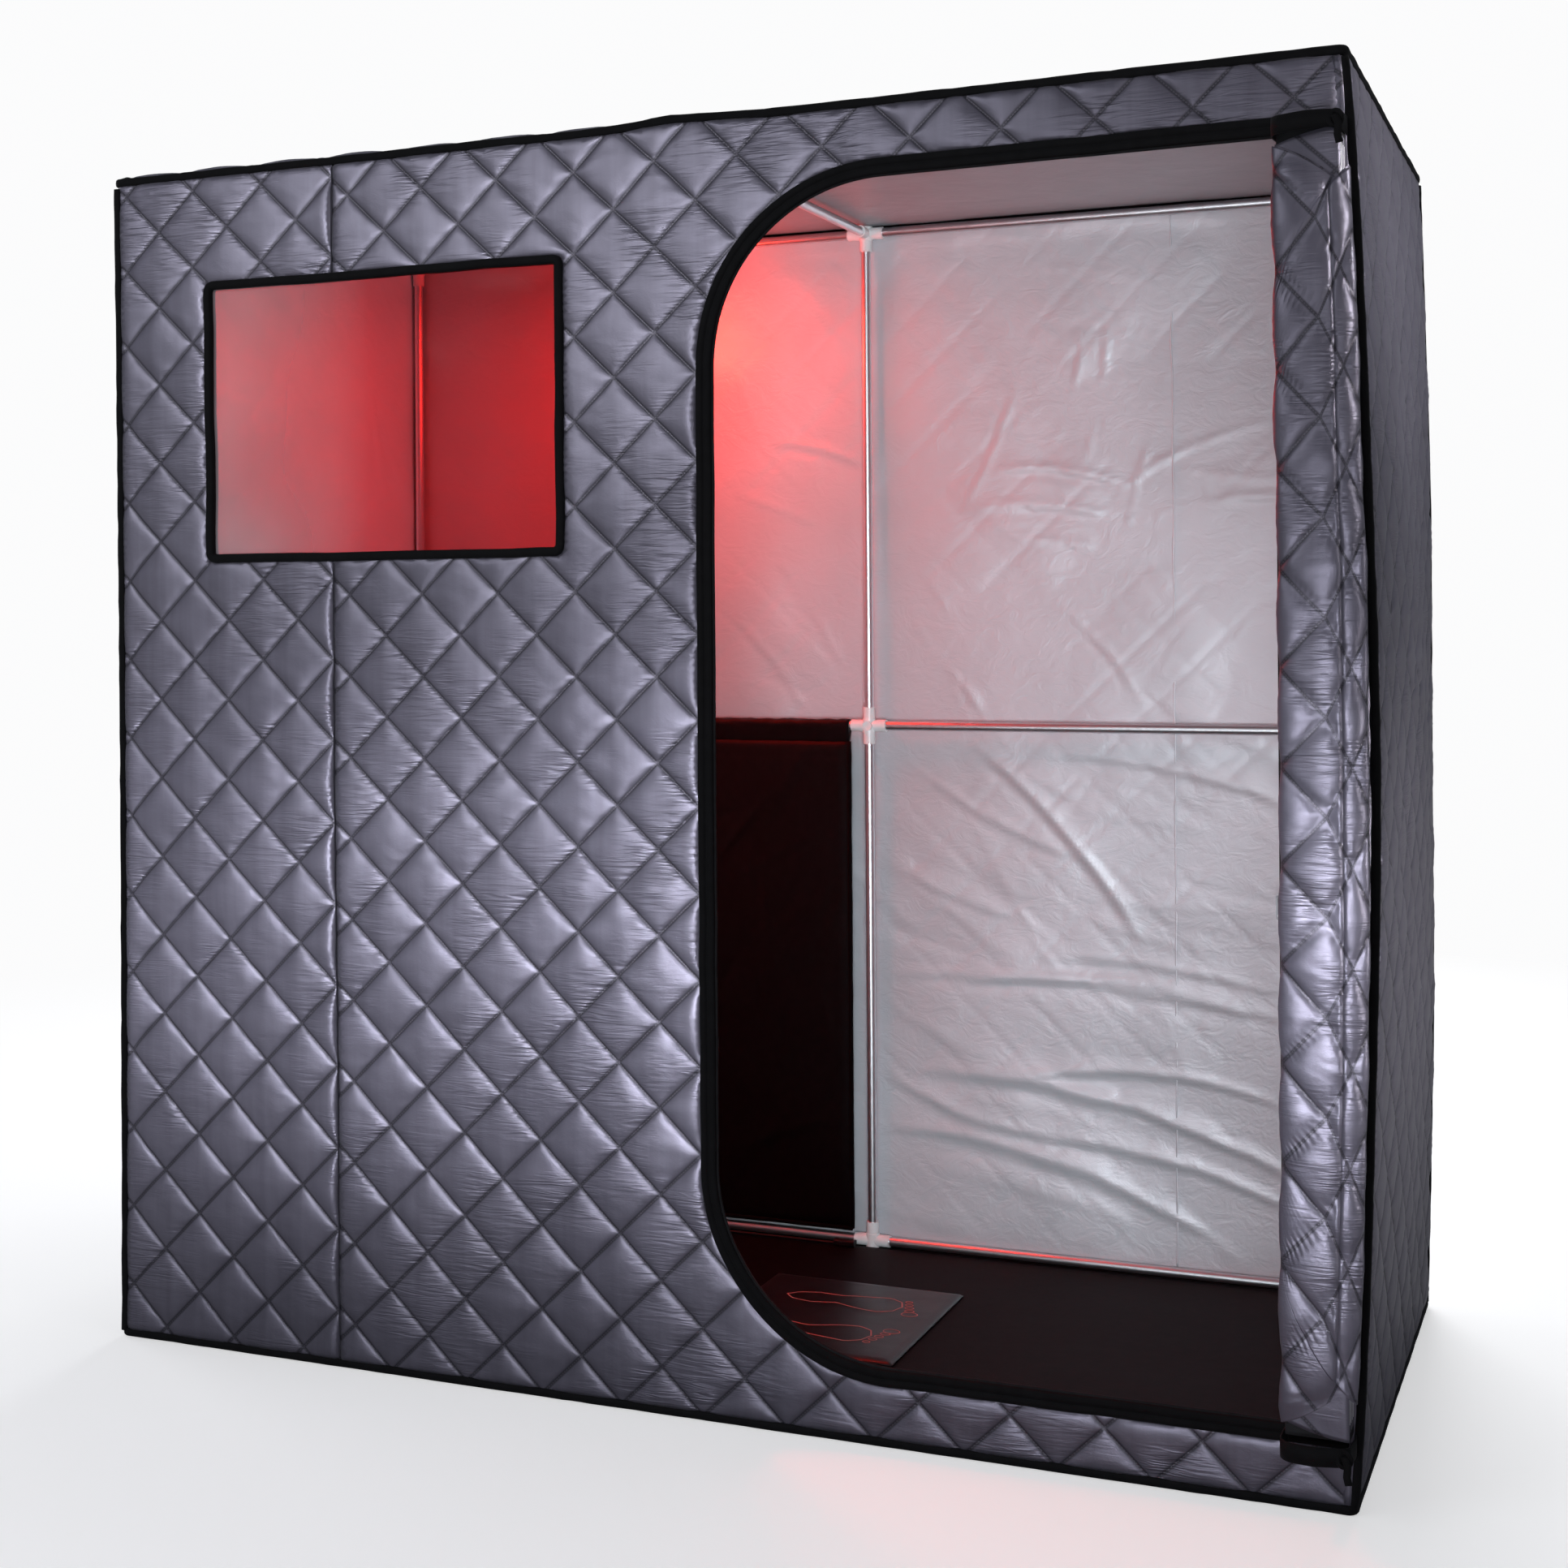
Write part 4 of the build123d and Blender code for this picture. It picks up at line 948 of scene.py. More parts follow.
F = -HY
tape = [(22.5, F + 2), (22.0, F - 1.2), (20.5, F - 2.6), (17.0, F - 3.3), (14.5, F - 3.2), (12.2, F - 1.6), (11.2, F - 0.6),
        (10.6, F - 2.0), (6.5, F - 2.4), (3.0, F - 2.2), (0.2, F - 1.2), (-0.6, F + 1.0), (-0.4, F + 10.4), (4, F + 11.5), (20, F + 11.5), (22.5, F + 9)]
ob = band("doorway_tape", tape, BLACK)
piece(ob, "cabin", "binding_fabric", "doorway_binding")
coil = [(9.6, F - 2.2), (8.8, F - 3.6), (7.0, F - 4.1), (5.2, F - 3.6), (4.4, F - 2.2), (7.0, F - 1.8)]
p0, n0 = door_path(0.0, step=6.0)
ob = band("doorway_zip_teeth", [(a - 8.0, b + 5.5) for a, b in coil], ZIPTAPE, wobble=0.15, path=(p0, n0))
piece(ob, "cabin", "zip_plastic", "doorway_zip_coil")


def rounded_rect_path(x0, x1, z0, z1, r, step=12.0):
    p, n = [], []
    for cx, cz, a0, nx, nz in ((x1 - r, z1 - r, 0, 0, 1), (x0 + r, z1 - r, 90, -1, 0), (x0 + r, z0 + r, 180, 0, -1), (x1 - r, z0 + r, 270, 1, 0)):
        for k in range(6):
            a = math.radians(a0 + 18 * k)
            p.append((cx + r * math.cos(a), cz + r * math.sin(a))); n.append((math.cos(a), math.sin(a)))
        # straight run to the next corner
        a = math.radians(a0 + 90)
        last = np.array(p[-1])
        nxt = {0: (x0 + r, z1), 90: (x0, z0 + r), 180: (x1 - r, z0), 270: (x1, z1 - r)}[a0]
        nxt = np.array(nxt, float)
        k = int(np.linalg.norm(nxt - last) / step)
        for i in range(1, k):
            p.append(tuple(last + (nxt - last) * i / k)); n.append((math.cos(a), math.sin(a)))
    return np.array(p), np.array(n)


wprof = [(12.6, F + 2), (12.2, F - 2.4), (10.2, F - 4.2), (6.0, F - 4.9), (2.0, F - 4.2), (-0.4, F - 2.2), (-0.6, F + 3.6), (-0.6, F + 10.5), (5, F + 11.4), (12, F + 10)]
ob = band("window_frame_tape", wprof, BLACK, wobble=1.0, closed=True, seed=50, path=rounded_rect_path(WX0, WX1, WZ0, WZ1, 4.0))
piece(ob, "cabin", "binding_fabric", "window_binding")
gx = np.linspace(WX0 - 5, WX1 + 5, 90); gz = np.linspace(WZ0 - 5, WZ1 + 5, 62)
GX, GZ = np.meshgrid(gx, gz, indexing="ij")
edge = sm(rect_sdf(GX, GZ, WX0, WX1, WZ0, WZ1) / 60)
yy = F + 4.6 + edge * (2.2 * noise(GX / 120, GZ / 90, 61) + 0.8 * noise(GX / 42 + GZ / 60, GZ / 160, 62))
ob = make("window_film", warp(np.stack([GX, yy, GZ], -1).reshape(-1, 3)), grid_faces(90, 62), WINDOW)
solidify(ob, 0.5, 0)
piece(ob, "cabin", "clear_film", "window_pane")

# ------------------------------------------------------------------ linings
# Long folds in the back lining: from x, z to x, z, height, width, bend.
BACK_FOLDS = [
    (201, 874, 461, 580, 5.5, 9, 0.04),
    (39, 872, 371, 692, 2.5, 9, -0.05),
    (316, 869, 736, 784, 2.5, 10, 0.05),
    (109, 316, 732, 177, 6, 13, 0.06),
    (34, 211, 599, 64, 6, 14, 0.07),
    (255, 313, 746, 283, 4.5, 11, 0.08),
    (21, 480, 734, 438, 2.6, 9, 0.03),
    (154, 471, 602, 464, 2.2, 7, 0.05),
    (311, 220, 732, 124, 5, 12, 0.05),
    (34, 296, 311, 220, 4, 11, -0.06),
    (328, 525, 682, 484, 2.2, 8, 0.04),
    (22, 679, 257, 591, 1.6, 7, -0.04),
    (234, 1355, 473, 1314, 3.4, 7, 0.06),
    (190, 1290, 461, 1263, 2.8, 9, 0.05),
    (459, 1326, 695, 1419, 3.0, 8, 0.05),
    (472, 1259, 727, 1296, 2.6, 7, 0.05),
    (473, 1333, 445, 1225, 2.4, 6, 0.02),
    (250, 1236, 420, 1215, 1.6, 7, 0.03),
    (480, 1374, 714, 1326, 1.8, 6, -0.05),
    (-180, 1419, -6, 1369, 3.0, 6, 0.03),
    (-268, 1328, -96, 1265, 1.5, 7, 0.03),
    (380, 1569, 320, 1380, 1.8, 5, 0.05),
    (422, 1594, 387, 1377, 1.8, 5, 0.04),
    (529, 1534, 462, 1320, 1.8, 5, 0.04),
    (264, 1507, 175, 1301, 1.5, 5, 0.03),
    (70, 1106, 161, 958, 2.2, 7, 0.03),
    (129, 1028, 194, 948, 2.2, 6, 0.03),
    (332, 1131, 473, 974, 2.0, 7, 0.03),
    (86, 1190, 231, 937, 1.3, 7, 0.03),
    (322, 1763, 625, 1753, 2.8, 16, 0.05),
    (-177, 1767, -12, 1745, 2.4, 12, 0.03),
    (75, 1756, 308, 1750, 2.0, 14, 0.03),
    (-262, 1108, -129, 948, 1.3, 8, 0.02),
    (-189, 1224, -21, 963, 1.2, 8, 0.02),
]


def folds_at(x, z, lines):
    out = np.zeros_like(x)
    for x0, z0, x1, z1, hgt, w, b in lines:
        ln = math.hypot(x1 - x0, z1 - z0)
        ux, uz = (x1 - x0) / ln, (z1 - z0) / ln
        t = (x - x0) * ux + (z - z0) * uz
        d = -(x - x0) * uz + (z - z0) * ux
        f = t / ln
        d = d - b * ln * 4 * f * (1 - f) - 2.5 * noise(t / 70, t * 0 + hgt, 91)
        near = (f > -0.15) & (f < 1.15) & (np.abs(d) < 5 * w)
        if not near.any():
            continue
        dd, ff = d[near], f[near]
        ends = sm((ff + 0.12) / 0.35) * sm((1.12 - ff) / 0.35)
        ridge = np.exp(-np.abs(dd / (w * np.where(dd > 0, 1.25, 0.55))) ** 1.35)
        dip = 0.35 * np.exp(-((dd + 1.6 * w) / (1.1 * w)) ** 2)
        out[near] += hgt * ends * (ridge - dip)
    return out


def lining_sheet(name, u0, u1, v0, v1, place, step, amp, seed, tubes_u=(), tubes_v=(), mat=None, hole=None, angle=-40, spots=110, quilt=True, lines=None):
    nu, nv = int((u1 - u0) / step) + 1, int((v1 - v0) / step) + 1
    U, V = np.meshgrid(np.linspace(u0, u1, nu), np.linspace(v0, v1, nv), indexing="ij")
    room = np.ones_like(U) * 9.0
    for c in tubes_u:
        room = np.minimum(room, 1.0 + np.clip((np.abs(U - c) - 12) / 12, 0, 9))
    for c in tubes_v:
        room = np.minimum(room, 1.0 + np.clip((np.abs(V - c) - 12) / 12, 0, 9))
    room = np.minimum(room, 0.6 + np.clip(rect_sdf(U, V, u0, u1, v0, v1) / 14, 0, 9))
    u, v = U.ravel(), V.ravel()
    h = 3.0 * fbm(u / 260, v / 210, seed, 3)
    k = 0.45 if lines else 0.8
    h += k * creases(u, v, spots, seed, (u0, u1), (v0, v1), (160, 520), (7, 15), (0.6, 2.4), angle, 24)
    h += k * creases(u, v, spots // 2, seed + 1, (u0, u1), (v0, v0 + (v1 - v0) * 0.55), (260, 680), (12, 24), (1.2, 4.0), -12, 14)
    h += k * creases(u, v, spots // 2, seed + 2, (u0, u1), (v0, v1), (60, 200), (5, 8), (0.4, 1.2), 72, 30)
    if lines:
        h += folds_at(u, v, lines)
    if quilt:
        a, b = (u / PX_ + v / PZ_) % 1.0, (u / PX_ - v / PZ_) % 1.0
        h -= 0.9 * np.exp(-(np.minimum(a, 1 - a) / 0.04) ** 2) + 0.9 * np.exp(-(np.minimum(b, 1 - b) / 0.04) ** 2)
    r = room.ravel()
    h = np.clip(amp * h, -1.0, None)
    h = np.where(h > 0, r * np.tanh(h / np.maximum(r, 0.3)), h)
    P = place(u, v, h)
    f = grid_faces(nu, nv)
    if hole is not None:
        c = np.stack([u, v], 1)[f].mean(1)
        f = f[np.hypot(c[:, 0] - hole[0], c[:, 1] - hole[1]) > hole[2]]
    ob = make(name, P, f, mat or LINING)
    t1 = place(np.array([0.0]), np.array([900.0]), np.array([5.0])) - place(np.array([0.0]), np.array([900.0]), np.array([0.0]))
    nrm = np.cross(P[f[:, 1]] - P[f[:, 0]], P[f[:, 3]] - P[f[:, 0]]).mean(0)
    if nrm @ t1[0] < 0:
        ob.data.flip_normals()
    solidify(ob, 0.7, -1.0)
    return ob


LI = 10.3
def in_back(x, z, h):
    q = warp(np.stack([x, np.full_like(x, HY - LI), z], 1))
    q[:, 1] -= h
    return q
def in_right(y, z, h):
    q = warp(np.stack([np.full_like(y, HX - LI), y, z], 1))
    q[:, 0] -= h
    return q
def in_left(y, z, h):
    q = warp(np.stack([np.full_like(y, -HX + LI), y, z], 1))
    q[:, 0] += h
    return q
def in_roof(x, y, h):
    q = np.stack([x, y, np.full_like(x, H - LI) - np.clip(h, -0.5, 0.6 * 3)], 1)
    return q


XS, YS = HX - 13, HY - 13
ob = lining_sheet("back_lining_sheet", -XS, XS, 13, H - 13, in_back, 6.5, 1.0, 101, tubes_u=(-909, 0, 909), tubes_v=(16, 916, 1776), angle=-38, spots=120, lines=BACK_FOLDS)
piece(ob, "cabin", "lining_fabric", "back_lining")
zs = np.arange(22, H - 22, 8.0)
path = in_back(np.full_like(zs, 533.0) + 1.2 * noise(zs / 60, zs * 0, 95), zs, np.full_like(zs, 1.2))
ob = sweep("back_lining_join", path, superellipse(1.4, 0.4, 8), LINING, up=(0, 1, 0), wob=0.3)
piece(ob, "cabin", "lining_fabric")
ob = lining_sheet("right_lining_sheet", -YS, YS, 13, H - 13, in_right, 8, 1.0, 102, tubes_u=(-411, 411), tubes_v=(16, 916, 1776), spots=70)
piece(ob, "cabin", "lining_fabric", "side_linings")
ob = lining_sheet("left_lining_sheet", -YS, YS, 13, H - 13, in_left, 8, 1.0, 103, tubes_u=(-411, 411), tubes_v=(16, 916, 1776), hole=(PORT_Y, PORT_Z, 26), spots=70)
piece(ob, "cabin", "lining_fabric")
ob = lining_sheet("roof_lining_sheet", -XS, XS, -YS, YS, in_roof, 9, 0.4, 104, tubes_u=(-909, 0, 909), tubes_v=(-411, 411), mat=LINING_ROOF_SHADED, angle=10, spots=60)
piece(ob, "cabin", "lining_fabric", "roof_lining")


def in_front(x, z, out):
    q = warp(np.stack([x, np.full_like(x, -HY + LI), z], 1))
    q[:, 1] -= out * 0.25
    return q


ob = quilt_sheet("front_lining_sheet", -506, 784, (-HX, HX), (0, H), front_sdf, in_front, puff=4.0, seed=14, thickness=0.7, mat=LINING)
ob.data.flip_normals()
piece(ob, "cabin", "lining_fabric", "front_lining")

# ------------------------------------------------------------------ floor cloth and mat
gx, gy = np.linspace(-894, 894, 150), np.linspace(-396, 396, 70)
GX, GY = np.meshgrid(gx, gy, indexing="ij")
hz = 7.2 + 0.6 * fbm(GX / 200, GY / 160, 71, 3) * sm(rect_sdf(GX, GY, -894, 894, -396, 396) / 60)
ob = make("floor_mat_cloth", np.stack([GX, GY, np.minimum(hz, 8.0)], -1).reshape(-1, 3), grid_faces(150, 70), FLOORCLOTH)
solidify(ob, 3.6, -1)
piece(ob, "cabin", "floor_fabric", "floor_mat")
gx, gy = np.linspace(-921, 921, 90), np.linspace(-423, 423, 44)
GX, GY = np.meshgrid(gx, gy, indexing="ij")
hz = 2.9 + 0.1 * noise(GX / 90, GY / 90, 72)
ob = make("floor_cloth_sheet", np.stack([GX, GY, hz], -1).reshape(-1, 3), grid_faces(90, 44), UNDERCLOTH)
solidify(ob, 2.6, -1)
piece(ob, "cabin", "floor_fabric", "floor_sheet")

# ------------------------------------------------------------------ CAD parts that stay
def dress(names, mat, smooth=True):
    for n in names:
        o = NODES[n]
        if not o.material_slots:
            o.data.materials.append(mat)
        for s in o.material_slots:
            s.link = "OBJECT"
            s.material = mat


dress(["lower_posts", "upper_posts", "roof_long_rails", "roof_short_rails", "floor_rails", "waist_rails"], TUBE)
dress(["roof_corner_connectors", "floor_corner_connectors", "waist_corner_connectors", "roof_centre_connectors",
       "floor_centre_connectors", "waist_centre_connectors"], CONNECTOR)
dress(["cable_port_grommet", "supply_leads", "foot_mat_lead"], RUBBER)
dress(["controller_case"], CASE)
dress(["power_button", "heat_button", "timer_button"], BUTTON)
dress(["lamp_housing"], LAMPWHITE)
dress(["lamp_lens"], LENS)
dress(["lamp_hanger"], BLACK)
dress(["heater_film"], FILM)
dress(["zip_slider", "zip_pull"], ZIPMETAL)

# ------------------------------------------------------------------ door flap
FLAP_X, FOLD_W, FOLDS, FOLD_T, FOLD_P = 931.0, 77.4, 11, 4.8, 5.2
FZ0, FZ1, FR = 106.0, 1692.5, 249.5          # the top includes the zip tape above the fabric
FREE = FLAP_X - FOLDS * FOLD_W
FY = -HY - 0.4


def flap_range(xc):
    """Lowest and highest z of the closed flap at closed position xc."""
    d = np.clip(xc - FREE, 0, FR)
    cut = FR - np.sqrt(np.maximum(FR ** 2 - (FR - d) ** 2, 0))
    return FZ0 + cut, FZ1 - cut


def groove(xc, z, seed=4):
    u = (xc + 506) / PX_ + (z - 741) / PZ_
    v = (xc + 506) / PX_ - (z - 741) / PZ_
    return u, v


def flap_edge(x, z):
    """Distance inwards from the flap's free outline."""
    d = np.minimum(np.minimum(x - FREE, z - FZ0), FZ1 - z)
    cx = FREE + FR
    lowc, hic = (x < cx) & (z < FZ0 + FR), (x < cx) & (z > FZ1 - FR)
    d = np.where(lowc, FR - np.hypot(x - cx, z - FZ0 - FR), d)
    return np.where(hic, FR - np.hypot(x - cx, z - FZ1 + FR), d)


for n in range(1, FOLDS + 1):
    odd = n % 2 == 1
    nx, nz = 17, 316
    s = np.linspace(0, FOLD_W, nx)                       # from the fold's left end in the closed door
    xc = FLAP_X - n * FOLD_W + s
    xcl = np.clip(xc, FREE + 0.4, FLAP_X - 0.3)
    lo, hi = flap_range(xcl)
    tz = np.linspace(0, 1, nz)
    XC = np.tile(xcl[:, None], (1, nz))
    ZZ = lo[:, None] + (hi - lo)[:, None] * tz[None, :]
    U, V = groove(XC, ZZ)
    fr = lambda a: 1 - 2 * np.abs(a - np.floor(a) - 0.5)
    ht = pillow(fr(U), fr(V))
    endf = sm((tz * 1586) / 25)[None, :] * sm(((1 - tz) * 1586) / 25)[None, :]
    sid = np.minimum(sm((s + 1.0) / 7), sm((FOLD_W + 1.0 - s) / 7))[:, None]
    face = FY - FOLD_P * (n - 1)                           # back face at rest
    outer = 1.2 + 1.15 * (ht * endf) * (0.55 + 0.45 * sid)  # half thickness on the quilted side
    inner = 1.7 + 0.5 * noise(XC / 25, ZZ / 60, 200 + n) * endf * sid + 0.0 * ht
    outer *= 0.35 + 0.65 * sid
    inner *= 0.35 + 0.65 * sid
    mid = face - FOLD_T / 2
    if odd:
        x_rest = XC + (n - 1) * FOLD_W
        y_out, y_in = mid - outer, mid + inner
    else:
        x_rest = 2 * (FLAP_X - FOLD_W / 2) - (XC + (n - 1) * FOLD_W)
        y_out, y_in = mid + outer, mid - inner
    A = np.stack([x_rest, y_out, ZZ], -1).reshape(-1, 3)
    B = np.stack([x_rest, y_in, ZZ], -1).reshape(-1, 3)
    f1 = grid_faces(nx, nz)
    f2 = grid_faces(nx, nz, flip=True) + nx * nz
    def rim(ids):
        ids = np.array(ids)
        return np.stack([ids[:-1], ids[:-1] + nx * nz, ids[1:] + nx * nz, ids[1:]], 1)
    i0 = np.arange(nz); loop = list(i0) + [i * nz + nz - 1 for i in range(1, nx)] + [(nx - 1) * nz + j for j in range(nz - 2, -1, -1)] + [i * nz for i in range(nx - 2, -1, -1)]
    f3 = rim(loop)
    faces = np.concatenate([f1, f2, f3])
    edge1 = flap_edge(XC.ravel()[f1].mean(1), ZZ.ravel()[f1].mean(1))
    xc2, zc = XC.ravel()[f2 - nx * nz].mean(1), ZZ.ravel()[f2 - nx * nz].mean(1)
    edge2 = flap_edge(xc2, zc)
    inside = np.ones(len(f2))
    if n == FOLDS - 1:
        inside[(zc > 1400) | (zc < 380)] = 0
    inside[edge2 < 20] = 2
    xr3 = np.concatenate([XC.ravel(), XC.ravel()])[f3].mean(1); zr3 = np.concatenate([ZZ.ravel(), ZZ.ravel()])[f3].mean(1)
    hem1, hem3 = np.where(edge1 < 9, 2, 0), np.where(flap_edge(xr3, zr3) < 9, 2, 0)
    if n >= FOLDS - 2:
        z1 = ZZ.ravel()[f1].mean(1)
        hem1[(z1 > 1400) | (z1 < 380)] = 0
        hem3[(zr3 > 1400) | (zr3 < 380)] = 0
        inside[(inside == 2) & ((zc > 1400) | (zc < 380))] = 0
    mi = np.r_[hem1, inside, hem3]
    uv = np.stack([U.ravel(), V.ravel()], 1)
    ob = make(f"flap_strip_{n:02d}", np.concatenate([A, B]), faces, [QUILT, LINING, ZIPTAPE], mat_index=mi, uv=np.concatenate([uv, uv]))
    import bmesh
    bm = bmesh.new(); bm.from_mesh(ob.data)
    bmesh.ops.recalc_face_normals(bm, faces=bm.faces)
    bm.to_mesh(ob.data); bm.free()
    piece(ob, f"fold_{n:02d}", "quilt_fabric", f"door_fold_{n:02d}")

# padded outer face of the last strip: what shows when the flap is tied back
LASTY = FY - FOLD_P * (FOLDS - 1) - FOLD_T
REST_L = FLAP_X - FOLD_W


def bundle_profile(q, z):
    """q 0..1 from the left turn to the right turn; returns x and y of the padded face."""
    bow = np.sin(np.pi * np.clip((z - 60) / 1680, 0, 1)) ** 0.8
    xl = REST_L - 2.5 + 5.0 * bow + 1.5 * noise(z / 110, z * 0 + .5, 301)
    xr = FLAP_X + 6 + 24 * bow + 1.5 * noise(z / 90, z * 0 + .5, 302)
    c, w = (xl + xr) / 2, (xr - xl) / 2
    th = np.pi * (1 - q)
    e = 2 / 2.7
    cx, cy = np.cos(th), np.sin(th)
    depth = 17.0
    x = c + w * np.sign(cx) * np.abs(cx) ** e
    y = LASTY - 0.7 - depth * np.abs(cy) ** e
    return x, y


def bundle_piece(name, zlo_of, zhi_of, body, nq=34, nz=420, seed=77, slotname="quilt_fabric", close_lo=False, close_hi=False, part=None):
    q = np.linspace(0, 1, nq)
    q = 0.5 - 0.5 * np.cos(np.pi * q) * (0.55 + 0.45 * np.abs(np.cos(np.pi * q)))
    q = (q - q.min()) / (q.max() - q.min())
    zz = np.linspace(0, 1, nz)
    Z0 = np.zeros((nq, nz)); X0 = np.zeros((nq, nz)); Y0 = np.zeros((nq, nz))
    zmid = np.full(nq, 900.0)
    lo = zlo_of(bundle_profile(q, np.full(nq, 210.0))[0])
    hi = zhi_of(bundle_profile(q, np.full(nq, 1590.0))[0])
    ZZ = lo[:, None] + (hi - lo)[:, None] * zz[None, :]
    Q = np.tile(q[:, None], (1, nz))
    X0, Y0 = bundle_profile(Q.ravel(), ZZ.ravel())
    X0, Y0 = X0.reshape(nq, nz), Y0.reshape(nq, nz)
    # arc length across at mid height gives the lattice coordinate
    xm, ym = bundle_profile(q, zmid)
    arc = np.r_[0, np.cumsum(np.hypot(np.diff(xm), np.diff(ym)))]
    fx = (xm - xm.min()) / (xm.max() - xm.min())
    XL = 57.0 + 62.5 * np.interp(fx, [0, 0.55, 0.84, 1.0], [0, 1, 2, 2.7])
    U, V = groove(np.tile(XL[:, None], (1, nz)), ZZ)
    d = sample(U.ravel(), V.ravel(), seed).reshape(nq, nz, 3)
    # normals of the profile
    eps = 1e-3
    xa, ya = bundle_profile(np.clip(Q - eps, 0, 1).ravel(), ZZ.ravel()); xb, yb = bundle_profile(np.clip(Q + eps, 0, 1).ravel(), ZZ.ravel())
    tx, ty = (xb - xa).reshape(nq, nz), (yb - ya).reshape(nq, nz)
    ln = np.maximum(np.hypot(tx, ty), 1e-6)
    nxn, nyn = ty / ln, -tx / ln                      # outward: towards -y in the middle
    fade = np.minimum(sm(arc / 8), sm((arc[-1] - arc) / 8))[:, None]
    one = np.ones_like(ZZ)
    endf = (0.2 + 0.8 * sm((ZZ - lo[:, None]) / 22) if close_lo else one) * (0.2 + 0.8 * sm((hi[:, None] - ZZ) / 22) if close_hi else one)
    out = (-d[..., 1] * 6.5 - 2.0) * fade * endf + 0.5 * fbm(ZZ / 9, X0 / 25, seed, 2) * fade
    X = X0 + nxn * out + d[..., 0] * 2.0 * fade
    Y = Y0 + nyn * out
    Zf = ZZ + d[..., 2] * 2.0 * fade * endf
    sq = (0.75 + 0.25 * sm((ZZ - lo[:, None]) / 40) if close_lo else one) * (0.75 + 0.25 * sm((hi[:, None] - ZZ) / 40) if close_hi else one)
    Y = LASTY - 0.7 + (Y - (LASTY - 0.7)) * sq
    cut = int(np.argmin(np.abs(bundle_profile(q, zmid)[0] - 930.0)))
    rows = {None: slice(0, nq), "face": slice(0, cut + 1), "roll": slice(cut, nq)}[part]
    X, Y, Zf, U, V = X[rows], Y[rows], Zf[rows], U[rows], V[rows]
    nq = X.shape[0]
    A = np.stack([X, np.minimum(Y, LASTY - 0.5), Zf], -1).reshape(-1, 3)
    # flat back, closed into a solid
    B = np.stack([X, np.full_like(X, LASTY - 0.3), Zf], -1).reshape(-1, 3)
    f1 = grid_faces(nq, nz); f2 = grid_faces(nq, nz, flip=True) + nq * nz
    loop = list(range(nz)) + [i * nz + nz - 1 for i in range(1, nq)] + [(nq - 1) * nz + j for j in range(nz - 2, -1, -1)] + [i * nz for i in range(nq - 2, -1, -1)]
    ids = np.array(loop)
    f3 = np.stack([ids[:-1], ids[:-1] + nq * nz, ids[1:] + nq * nz, ids[1:]], 1)
    uv = np.stack([U.ravel(), V.ravel()], 1)
    ob = make(name, np.concatenate([A, B]), np.concatenate([f1, f2, f3]), [QUILT], uv=np.concatenate([uv, uv]))
    import bmesh
    bm = bmesh.new(); bm.from_mesh(ob.data)
    bmesh.ops.recalc_face_normals(bm, faces=bm.faces)
    bm.to_mesh(ob.data); bm.free()
    piece(ob, body, slotname)
    # padding that stands proud when tied back lies flat once the door is drawn shut
    anchor = LASTY - 0.8 if body == "fold_11" else LASTY + FOLD_P - 0.9
    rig.squash(ob, "door_unfold", axis=(0, 1, 0), anchor=(0.9, anchor / 1000, 0.9), keep=0.17)
    return ob


def xc_last(x):
    return np.clip(x - REST_L + FREE, FREE + 0.4, None)




def inner_limit(x):
    """Closed height limits of the facing on the last strip but one, at rest position x."""
    xc = np.clip(FREE + 2 * FOLD_W - (x - REST_L), FREE + FOLD_W, FREE + 2 * FOLD_W)
    cut = DOOR_R - np.sqrt(np.maximum(DOOR_R ** 2 - (DOOR_R - (xc - DOOR_X)) ** 2, 0))
    return DOOR_Z0 + cut + 5, DOOR_Z1 - cut - 8


def clampx(x):
    return np.clip(x, REST_L, FLAP_X)


def top_of(x):
    return flap_range(np.clip(x - REST_L + FREE, FREE + 0.4, FREE + FOLD_W + 20))[1]


def low_of(x):
    return flap_range(np.clip(x - REST_L + FREE, FREE + 0.4, FREE + FOLD_W + 20))[0]


bundle_piece("flap_face", low_of, top_of, "fold_11", part="face")
bundle_piece("flap_roll", low_of, top_of, "fold_10", part="roll")
bundle_piece("flap_facing_top", top_of, lambda x: np.maximum(inner_limit(clampx(x))[1], top_of(x) + 3), "fold_10", nz=70, close_hi=True)
bundle_piece("flap_facing_low", lambda x: np.minimum(inner_limit(clampx(x))[0], low_of(x) - 3), low_of, "fold_10", nz=70, close_lo=True)

# corner strip between the sewn edge and the bowed piping
zs = np.linspace(14, H - 14, 130)
q = np.linspace(0, 1, 7)
Q, ZZ = np.meshgrid(q, zs, indexing="ij")
bx = warp(np.stack([np.full_like(zs, HX - 8), np.full_like(zs, -HY + 4), zs], 1))[:, 0]
X = 918 + (bx[None, :] - 918) * Q
Y = -HY + 2.0 - 2.0 * np.sin(np.pi * Q) + 0 * ZZ
U, V = groove(X, ZZ)
ob = make("corner_quilt_strip", np.stack([X, Y, ZZ], -1).reshape(-1, 3), grid_faces(7, 130), QUILT, uv=np.stack([U.ravel(), V.ravel()], 1))
solidify(ob, 3.0, 0)
piece(ob, "cabin", "quilt_fabric")
